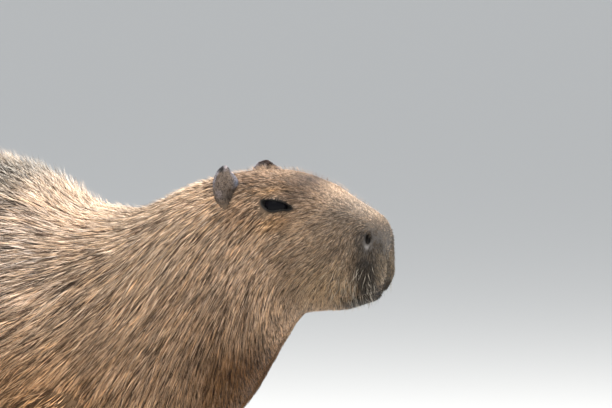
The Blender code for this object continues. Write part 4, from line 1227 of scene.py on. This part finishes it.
def planted(draw, surface, locks, spans, heading, length, spread):
    """Roots in locks: a lock's hairs stand along its line of lie and a little beside one another.

    Gives the number of each hair's lock, its u and v, and the step in (u, v) back to that line.
    """
    lead_u, lead_v = scatter(draw, surface, locks, *spans)
    lock = np.repeat(np.arange(locks), HAIRS_IN_LOCK)
    slopes = frame_on(surface, lead_u, lead_v)[2:]
    scale_u, scale_v = (np.maximum(np.linalg.norm(w, axis=-1), 1e-3)[lock] for w in slopes)
    turn = heading(lead_u, lead_v, 0.0)[lock]
    along = draw.uniform(-0.6, 0.4, len(lock)) * length(lead_u)[lock]
    aside = draw.normal(0, 1.0, len(lock)) * spread(lead_u)[lock]
    u = lead_u[lock] + (along * np.cos(turn) - aside * np.sin(turn)) / scale_u
    v = lead_v[lock] + (along * np.sin(turn) + aside * np.cos(turn)) / scale_v
    return lock, u, v, aside * np.sin(turn) / scale_u, -aside * np.cos(turn) / scale_v


print("hairs in a lock:", HAIRS_IN_LOCK)

# %% Where no hair grows
BARE_BY_EYE, BARE_BY_NOSTRIL, BARE_SEAM = 0.0018, 0.0044, 0.0013


def nearest_eye(points):
    """How far places lie from the nearer opening between the lids."""
    return np.min([beyond_almond(points, side) for side in SIDES], axis=0)


def outside_legs(points):
    """True where a place on the trunk isn't inside the top of a leg."""
    clear = np.ones(points.shape[:-1], bool)
    for table in (FORELEG, HINDLEG):
        level, *rest = table[::-1, [2, 0, 1, 3, 4]].T
        behind, out, along, across = (np.interp(points[..., 2], level, row) for row in rest)
        x = (NOSE_X - behind - points[..., 0]) / along
        y = (np.abs(points[..., 1]) - out) / across
        clear &= ~((x * x + y * y < 0.85) & (points[..., 2] < level[-1]))
    return clear


def clear_of_face(points):
    """True where hair may grow on the head: off the eyes, the nostrils and the seam of the lips."""
    clear = nearest_eye(points) > BARE_BY_EYE
    for side in SIDES:
        clear &= from_nostril(points, side, (1.0, 1.6, 1.9)) > BARE_BY_NOSTRIL**2
    behind, side = NOSE_X - points[..., 0], np.abs(points[..., 1])
    seam = np.abs(points[..., 2] - mouth_height(behind, side)) < BARE_SEAM
    return clear & ~(seam & (behind < MOUTH_CORNER - 0.004))


print("bare skin round each opening:", round(1000 * BARE_BY_EYE, 1), "mm")

# %% Roots of one stretch of the body's coat
RUN_START, RUN_END = 0.0010, RUN[-1] - 0.003


def length_at(run):
    """A hair's length by the run over the body to its root."""
    return hair_size(behind_at(run))[..., 0]


def lock_width_at(run):
    """How far a lock's hairs stand apart, by the run over the body to them."""
    return hair_size(behind_at(run))[..., 4]


def body_roots(draw, count, span):
    """Locks, runs, angles, both steps back to a lock's line, and places, where hair may grow."""
    lock, run, angle, *back = planted(
        draw, body_surface, count // HAIRS_IN_LOCK, (span, FULL_TURN), body_heading(0.0),
        length_at, lock_width_at,
    )
    run = np.clip(run, RUN_START, RUN_END)
    points = body_surface(run, angle)
    keep = outside_legs(points) & clear_of_face(points)
    return [x[keep] for x in (lock, run, angle, *back, points)]


print("hairs may grow on runs up to", round(float(RUN_END), 3), "m")

# %% One stretch of the body's coat
DRAWN_IN = 0.75
LYING, SHORTER_STANDING = 0.06, 0.72


def body_coat(name, seed, count, from_behind, to_behind, short):
    """Hairs on one stretch of the body, from its surface, lie, sizes and tints."""
    draw = np.random.default_rng(seed)
    start = max(float(run_at(from_behind)), RUN_START)
    end = min(float(run_at(to_behind)), RUN_END)
    lock, run, angle, back_u, back_v, points = body_roots(draw, count, (start, end))
    count, locks, behind = len(run), lock.max() + 1, behind_at(run)
    length, width, rise, upright, _ = np.moveaxis(hair_size(behind), -1, 0)
    small = 0.40 + 0.60 * ramp(nearest_eye(points), 0.002, 0.014)
    belly, top = ramp(-np.sin(angle), 0.5, 0.95), ramp(np.sin(angle), 0.60, 0.96)
    may_stand = draw.random(count) < np.interp(behind, UPRIGHT_PLACES, UPRIGHT_SHARES)
    stand = top * np.where(may_stand, draw.uniform(0.5, 1.0, count), LYING)
    length = length * (1 - 0.3 * belly) * (1 - 0.4 * top * (1 - ramp(behind, 0.12, 0.20)))
    length = length * draw.uniform(0.65, 1.25, count) * small * (1 - SHORTER_STANDING * stand)
    width = width * draw.uniform(0.7, 1.25, count) * (0.6 + 0.4 * small) * (1 - 0.25 * stand)
    swirl = draw.normal(0, 0.13, locks)[lock] + draw.normal(0, 0.05, count)
    track = walk(body_surface, run, angle, body_heading(swirl), length)
    track = [
        (np.clip(u + DRAWN_IN * t * back_u, 0.0008, RUN_END), v + DRAWN_IN * t * back_v)
        for t, (u, v) in zip(np.linspace(0, 1, len(track)), track)
    ]
    rise = rise * draw.uniform(0.45, 1.35, locks)[lock] * draw.uniform(0.8, 1.2, count) * small
    rise = rise * (1 - 0.70 * top * (1 - ramp(behind, 0.26, 0.42))) + stand * upright
    places, normals = hair_points(body_surface, track, rise, 0.0010, 0.75 + 0.2 * stand)
    colours = banded(draw, tint_at(points), lock, short)
    off_eye = nearest_eye(places).min(axis=1) > 0.0010
    hairs = places, normals, width, colours, coat_uv((run - start) / (end - start), angle)
    return hair_mesh(name, *(x[off_eye] for x in hairs))


# %% The body's coat in stretches
QUICK = 1.0
# name, hairs, from and to behind the nose, whether they are short and straight
STRETCHES = (
    ("coat_muzzle", 36000, 0.000, 0.060, True),
    ("coat_face", 36000, 0.055, 0.115, True),
    ("coat_head", 28000, 0.108, 0.165, False),
    ("coat_cheek", 28000, 0.155, 0.225, False),
    ("coat_neck", 28000, 0.215, 0.300, False),
    ("coat_nape", 25000, 0.290, 0.390, False),
    ("coat_shoulder", 25000, 0.380, 0.520, False),
    ("coat_back", 20000, 0.510, 0.700, False),
    ("coat_flank", 20000, 0.690, 0.880, False),
    ("coat_rump", 17000, 0.870, 1.051, False),
)
coat_pieces = []
for seed, (name, count, start, end, short) in enumerate(STRETCHES):
    coat_pieces.append(body_coat(name, 40 + seed, int(count * QUICK), start, end, short))
    print(name, len(coat_pieces[-1].data.polygons), "triangles")

# %% [markdown]
# ## Coat of the legs
# Shorter and darker, it runs straight down each leg and thins out over the foot. It is walked
# over the leg's own surface, and left out where the leg is still inside the trunk.

# %% Leg coat
# shares down the leg, and a hair's length, width and height of its tip there
LEG_LENGTHS = (0, 0.25, 0.5, 0.8, 1), (0.040, 0.036, 0.023, 0.013, 0.008)
LEG_WIDTHS = (0, 0.5, 1), (0.0012, 0.0010, 0.0007)
LEG_RISES = (0, 0.3, 0.6, 1), (0.0075, 0.006, 0.0036, 0.0020)
LEG_HAIRS = 5000
HANDS = tuple(zip(SIDES, ("right", "left")))


def leg_coat(name, seed, count, table, side):
    """Hairs down one leg, left out where the leg lies inside the trunk."""
    draw = np.random.default_rng(seed)
    surface = leg_surface(table, side)
    down, angle = scatter(draw, surface, count, (0.05, 0.99), FULL_TURN)
    points = surface(down, angle)
    trunk = half_width_at(NOSE_X - points[:, 0], points[:, 2]) + 0.001
    outside = np.abs(points[:, 1]) >= trunk
    down, angle, points = down[outside], angle[outside], points[outside]
    count = len(down)
    length = np.interp(down, *LEG_LENGTHS) * draw.uniform(0.7, 1.2, count)
    width = np.interp(down, *LEG_WIDTHS) * draw.uniform(0.7, 1.2, count)
    swirl = draw.normal(0, 0.16, count)

    def heading(u, v, share):
        """Straight down, but at the top tilted backwards like the trunk's hair."""
        tilt = math.radians(55) * np.sin(v) * (1 - ramp(u, 0.12, 0.55))
        return swirl * (0.5 + share) + tilt

    track = walk(surface, down, angle, heading, length)
    track = [(np.minimum(u, 1.0), v) for u, v in track]
    rise = np.interp(down, *LEG_RISES) * draw.uniform(0.5, 1.2, count)
    places, normals = hair_points(surface, track, rise, 0.001, 0.8)
    colours = banded(draw, tint_at(points), np.arange(count) // 3, False)
    return hair_mesh(name, places, normals, width, colours, coat_uv(down, angle, 0.988))


for side, hand in HANDS:
    for which, table, _, _ in LIMBS:
        name, seed = f"coat_{which}leg_{hand}", 60 + len(coat_pieces)
        coat_pieces.append(leg_coat(name, seed, int(LEG_HAIRS * QUICK), table, side))
        print(name, len(coat_pieces[-1].data.polygons), "triangles")

# %% [markdown]
# ## Whiskers and the hair of the ears
# The lips and the chin carry a few long, thin, stiff hairs that stand off the coat, some pale and
# some dark. An ear is thinly haired: the hairs of its hollow side lie across it in ridges, and
# those of its back run upwards. Both are walked over the same surfaces as their skin.

# %% Whiskers
WHISKER_COLOUR = np.array((0.620, 0.540, 0.430))
WHISKER_WIDTH = 0.00034
LIPS_UNTIL, LIPS_UNDER, LIPS_BESIDE = 0.050, 0.432, 0.012


def whiskers(name, seed, count):
    """Long single hairs on the lips and the chin, pale and dark, that stand well off the coat."""
    draw = np.random.default_rng(seed)
    span = float(run_at(0.003)), float(run_at(LIPS_UNTIL))
    run, angle = scatter(draw, body_surface, 12 * count, span, FULL_TURN)
    points = body_surface(run, angle)
    on_lips = (points[:, 2] < LIPS_UNDER) & (np.abs(points[:, 1]) > LIPS_BESIDE)
    on_lips &= clear_of_face(points)
    run, angle = run[on_lips][:count], angle[on_lips][:count]
    count = len(run)
    length = draw.uniform(0.012, 0.028, count)
    track = walk(body_surface, run, angle, body_heading(draw.normal(0, 0.30, count)), length)
    rise = length * draw.uniform(0.12, 0.40, count)
    places, normals = hair_points(body_surface, track, rise, 0.001, 1.3)
    colour = WHISKER_COLOUR * draw.uniform(0.6, 1.1, (count, 1))
    colour = np.where(draw.random((count, 1)) < 0.35, 0.08, 1.0) * colour
    colours = np.stack([colour * 0.6, colour, colour * 1.1], axis=1)
    width = np.full(count, WHISKER_WIDTH)
    return hair_mesh(name, places, normals, width, colours, coat_uv(run / span[1], angle))


coat_pieces.append(whiskers("coat_whiskers", 90, int(260 * QUICK)))
print("whiskers:", len(coat_pieces[-1].data.polygons) // len(LONG_BLADE))

# %% Hair of the ears
EAR_HAIRS, EAR_HAIR_WIDTH = 3600, 0.00055


def ear_coat(name, seed, count, side):
    """Short hairs over an ear: across its hollow side in ridges, upwards on its back."""
    draw = np.random.default_rng(seed)
    surface = ear_surface(side)
    up, angle = scatter(draw, surface, count, (0.22, 0.95), FULL_TURN)
    level, beside, _ = along_ear(surface(up, angle), side)
    hollow = np.sin(-side * angle) > 0
    length = np.where(hollow, 0.0060, 0.0050) * draw.uniform(0.6, 1.2, count) * (1 - 0.4 * up)
    width = EAR_HAIR_WIDTH * draw.uniform(0.7, 1.2, count)
    swirl = draw.normal(0, 0.25, count) + np.where(hollow, 0.95, 0.15)
    track = walk(surface, up, angle, lambda u, v, share: swirl, length)
    track = [(np.clip(u, 0.0, 0.985), v) for u, v in track]
    rise = draw.uniform(0.0004, 0.0014, count)
    places, normals = hair_points(surface, track, rise, 0.0004, 0.8)
    colours = banded(draw, ear_tone(side, level, beside, EAR_HAIR), np.arange(count) // 2, True)
    return hair_mesh(name, places, normals, width, colours, coat_uv(up, angle))


for side, hand in HANDS:
    coat_pieces.append(ear_coat(f"coat_ear_{hand}", 80 + side, int(EAR_HAIRS * QUICK), side))
print("coat:", sum(len(piece.data.polygons) for piece in coat_pieces), "triangles")

# %% [markdown]
# ## Finishes
# The skin under the coat is dark and dull. The hair has a soft gloss. The eye is a very smooth,
# almost black ball. The claws are worn horn, mottled by noise. Skin and hair take the painted
# tint, which noise on Object coordinates makes a little uneven.

# %% Material helpers
def new_material(name, roughness, specular=0.5):
    """A material's look, its node tree and its Principled shader."""
    made = bpy.data.materials.new(name)
    made.use_nodes = True
    shader = made.node_tree.nodes["Principled BSDF"]
    shader.inputs["Roughness"].default_value = roughness
    shader.inputs["Specular IOR Level"].default_value = specular
    return made, made.node_tree, shader


def add_node(tree, kind, **sockets):
    """A shader node of a kind, with values on its sockets: a _ in a name stands for a space."""
    made = tree.nodes.new("ShaderNode" + kind)
    for name, value in sockets.items():
        made.inputs[name.replace("_", " ")].default_value = value
    return made


def painted(tree, shader, variation, scale):
    """Links the painted tint, varied a little by noise on Object coordinates, to the shader."""
    colour = add_node(tree, "Attribute")
    colour.attribute_name = "tint"
    place = add_node(tree, "TexCoord")
    noise = add_node(tree, "TexNoise", Scale=scale, Detail=3.0)
    level = add_node(
        tree, "MapRange", From_Min=0.3, From_Max=0.7, To_Min=1 - variation, To_Max=1 + variation
    )
    times = add_node(tree, "VectorMath")
    times.operation = "SCALE"
    tree.links.new(place.outputs["Object"], noise.inputs["Vector"])
    tree.links.new(noise.outputs["Fac"], level.inputs["Value"])
    tree.links.new(colour.outputs["Color"], times.inputs[0])
    tree.links.new(level.outputs["Result"], times.inputs["Scale"])
    tree.links.new(times.outputs["Vector"], shader.inputs["Base Color"])
    return place


def pored(tree, shader, place, scale, distance):
    """Fine pores: cell texture on Object coordinates, as a bump of some depth."""
    cells = add_node(tree, "TexVoronoi", Scale=scale)
    bump = add_node(tree, "Bump", Distance=distance, Strength=0.6)
    tree.links.new(place.outputs["Object"], cells.inputs["Vector"])
    tree.links.new(cells.outputs["Distance"], bump.inputs["Height"])
    tree.links.new(bump.outputs["Normal"], shader.inputs["Normal"])


# %% Skin, bristle, eye and horn
HORN_DARK, HORN_PALE = (0.030, 0.022, 0.017, 1), (0.110, 0.085, 0.062, 1)
skin_look, tree, shader = new_material("skin_under_coat", 0.70, 0.15)
pored(tree, shader, painted(tree, shader, 0.18, 60), 900, 0.0004)
coat_look, tree, shader = new_material("bristle", 0.60, 0.20)
painted(tree, shader, 0.16, 22)
eye_look, tree, shader = new_material("wet_eye", 0.07, 0.06)
shader.inputs["Base Color"].default_value = (0.003, 0.003, 0.004, 1)
horn_look, tree, shader = new_material("worn_horn", 0.42)
place = add_node(tree, "TexCoord")
grain = add_node(tree, "TexNoise", Scale=180)
blend = add_node(tree, "Mix")
blend.data_type = "RGBA"
blend.inputs["A"].default_value, blend.inputs["B"].default_value = HORN_DARK, HORN_PALE
tree.links.new(place.outputs["Object"], grain.inputs["Vector"])
tree.links.new(grain.outputs["Fac"], blend.inputs["Factor"])
tree.links.new(blend.outputs["Result"], shader.inputs["Base Color"])
print("finishes:", ", ".join(look.name for look in (skin_look, coat_look, eye_look, horn_look)))

# %% [markdown]
# ## Claws
# Blunt, broad and slightly hooked, like small hooves. Each is a tapered tube of fine rings
# along the same short path as its solid.

# %% Claws
CLAW_LENGTH = 0.020
CLAW_RADII = (0.0067, 0.0066, 0.0060, 0.0050, 0.0036, 0.0016)


def claw_points(table, side, toe, count=20):
    """The claw's path: on from the toe's end, lifted a little, then bent down."""
    _, knuckle, tip = toe_knots(table, side, toe)
    ahead = unit(tip - knuckle)
    share = np.linspace(0, 1, count)[:, None]
    lift = np.array([0, 0, 1.0]) * CLAW_LENGTH * (0.35 * share - 0.30 * share**2)
    return tip + ahead * (0.0004 + share * CLAW_LENGTH) + lift


radii = even_radii(CLAW_RADII, 20)
claw_meshes = [
    skin_grid("claw", tube_grid(claw_points(table, side, toe), radii, 18, 0.88))
    for side in SIDES for _, table, toes, _ in LIMBS for toe in toes
]
claws = claw_meshes[0]
with bpy.context.temp_override(active_object=claws, selected_editable_objects=claw_meshes):
    bpy.ops.object.join()
claws.name = "claws"
print("claws:", len(claw_meshes))

# %% [markdown]
# ## Riding on the solids
# The model is one still body, so every piece rides on the root. The skin stands for all nodes
# of flesh and the claws for their solids, while the eyeballs stay as they are.

# %% Pieces and what they replace
flesh = [n for n in frame["nodes"] if not n.startswith(("eye_", "foreclaw_", "hindclaw_"))]
horn = [n for n in frame["nodes"] if n.startswith(("foreclaw_", "hindclaw_"))]
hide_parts(*flesh)
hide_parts(*horn)
dressed = [(skin, skin_look, "coat"), (claws, horn_look, "claw_horn")]
for piece in coat_pieces:
    dressed.append((piece, coat_look, "ear_skin" if "_ear_" in piece.name else "coat"))
for piece, look, slot in dressed:
    piece.data.materials.clear()
    piece.data.materials.append(look)
    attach(piece, "root")
for name in ("eye_left", "eye_right"):
    node = frame["nodes"][name]
    node.data.materials.clear()
    node.data.materials.append(eye_look)
    node.data.shade_smooth()
print("pieces on the root:", len(dressed), "and nodes replaced:", len(flesh) + len(horn))

# %% [markdown]
# ## Floor and light
# A plain pale floor that runs far out on all sides, one broad soft light from above, a weaker
# one from the animal's right and one from in front, and pale surroundings that keep the
# shadows open.

# %% Floor and lights
FLOOR_REACH, FLOOR_SIDES = 40, 96
QUARTER_TURN = math.pi / 2


def add_floor():
    """A wide level disc: a fan round its middle."""
    turns, k = full_circle(FLOOR_SIDES), np.arange(FLOOR_SIDES)
    level = np.full(FLOOR_SIDES, FLOOR)
    rim = np.stack([FLOOR_REACH * np.cos(turns), FLOOR_REACH * np.sin(turns), level], axis=-1)
    triangles = np.stack([np.full(FLOOR_SIDES, FLOOR_SIDES), k, np.roll(k, -1)], axis=-1)
    return make_mesh("floor", np.concatenate([rim, [[0, 0, FLOOR]]]), triangles)


floor = add_floor()
floor_look, tree, shader = new_material("pale_floor", 0.8)
shader.inputs["Base Color"].default_value = (0.50, 0.50, 0.495, 1)
floor.data.materials.append(floor_look)

# name, place ahead of the nose, beside it and up, size, power, colour
LIGHTS = (
    ("top", (-0.5, 0.3, 3.0), 1.8, 205, (1.0, 0.98, 0.95)),
    ("key", (0.5, -2.2, 2.6), 1.5, 95, (1.0, 0.97, 0.93)),
    ("front", (2.2, 1.6, 1.2), 1.6, 60, (1.0, 0.98, 0.94)),
)


def add_light(name, place, aim, size, power, colour):
    """A square area light at a place, turned to look at a point."""
    data = bpy.data.lights.new(name, "AREA")
    data.size, data.energy, data.color = size, power, colour
    light = bpy.data.objects.new(name, data)
    bpy.context.scene.collection.objects.link(light)
    back = unit(np.array(place) - np.array(aim))
    light.location = place
    light.rotation_euler = (math.acos(back[2]), 0.0, math.atan2(back[1], back[0]) + QUARTER_TURN)


for name, (ahead, beside, up), *light in LIGHTS:
    add_light(name, (NOSE_X + ahead, beside, up), (NOSE_X - 0.3, 0.0, 0.4), *light)
world = bpy.data.worlds.new("soft_room")
world.use_nodes = True
room = world.node_tree.nodes["Background"]
room.inputs["Color"].default_value = (0.90, 0.93, 0.96, 1)
room.inputs["Strength"].default_value = 0.95
bpy.context.scene.world = world
bpy.context.scene.view_settings.view_transform = "Standard"
print("lights:", len(LIGHTS), "over a floor that reaches", FLOOR_REACH, "m out")

# %% A box's corners as plain numbers
def plain(box):
    """A box's two corners as lists of numbers."""
    return [[float(x) for x in corner] for corner in box]
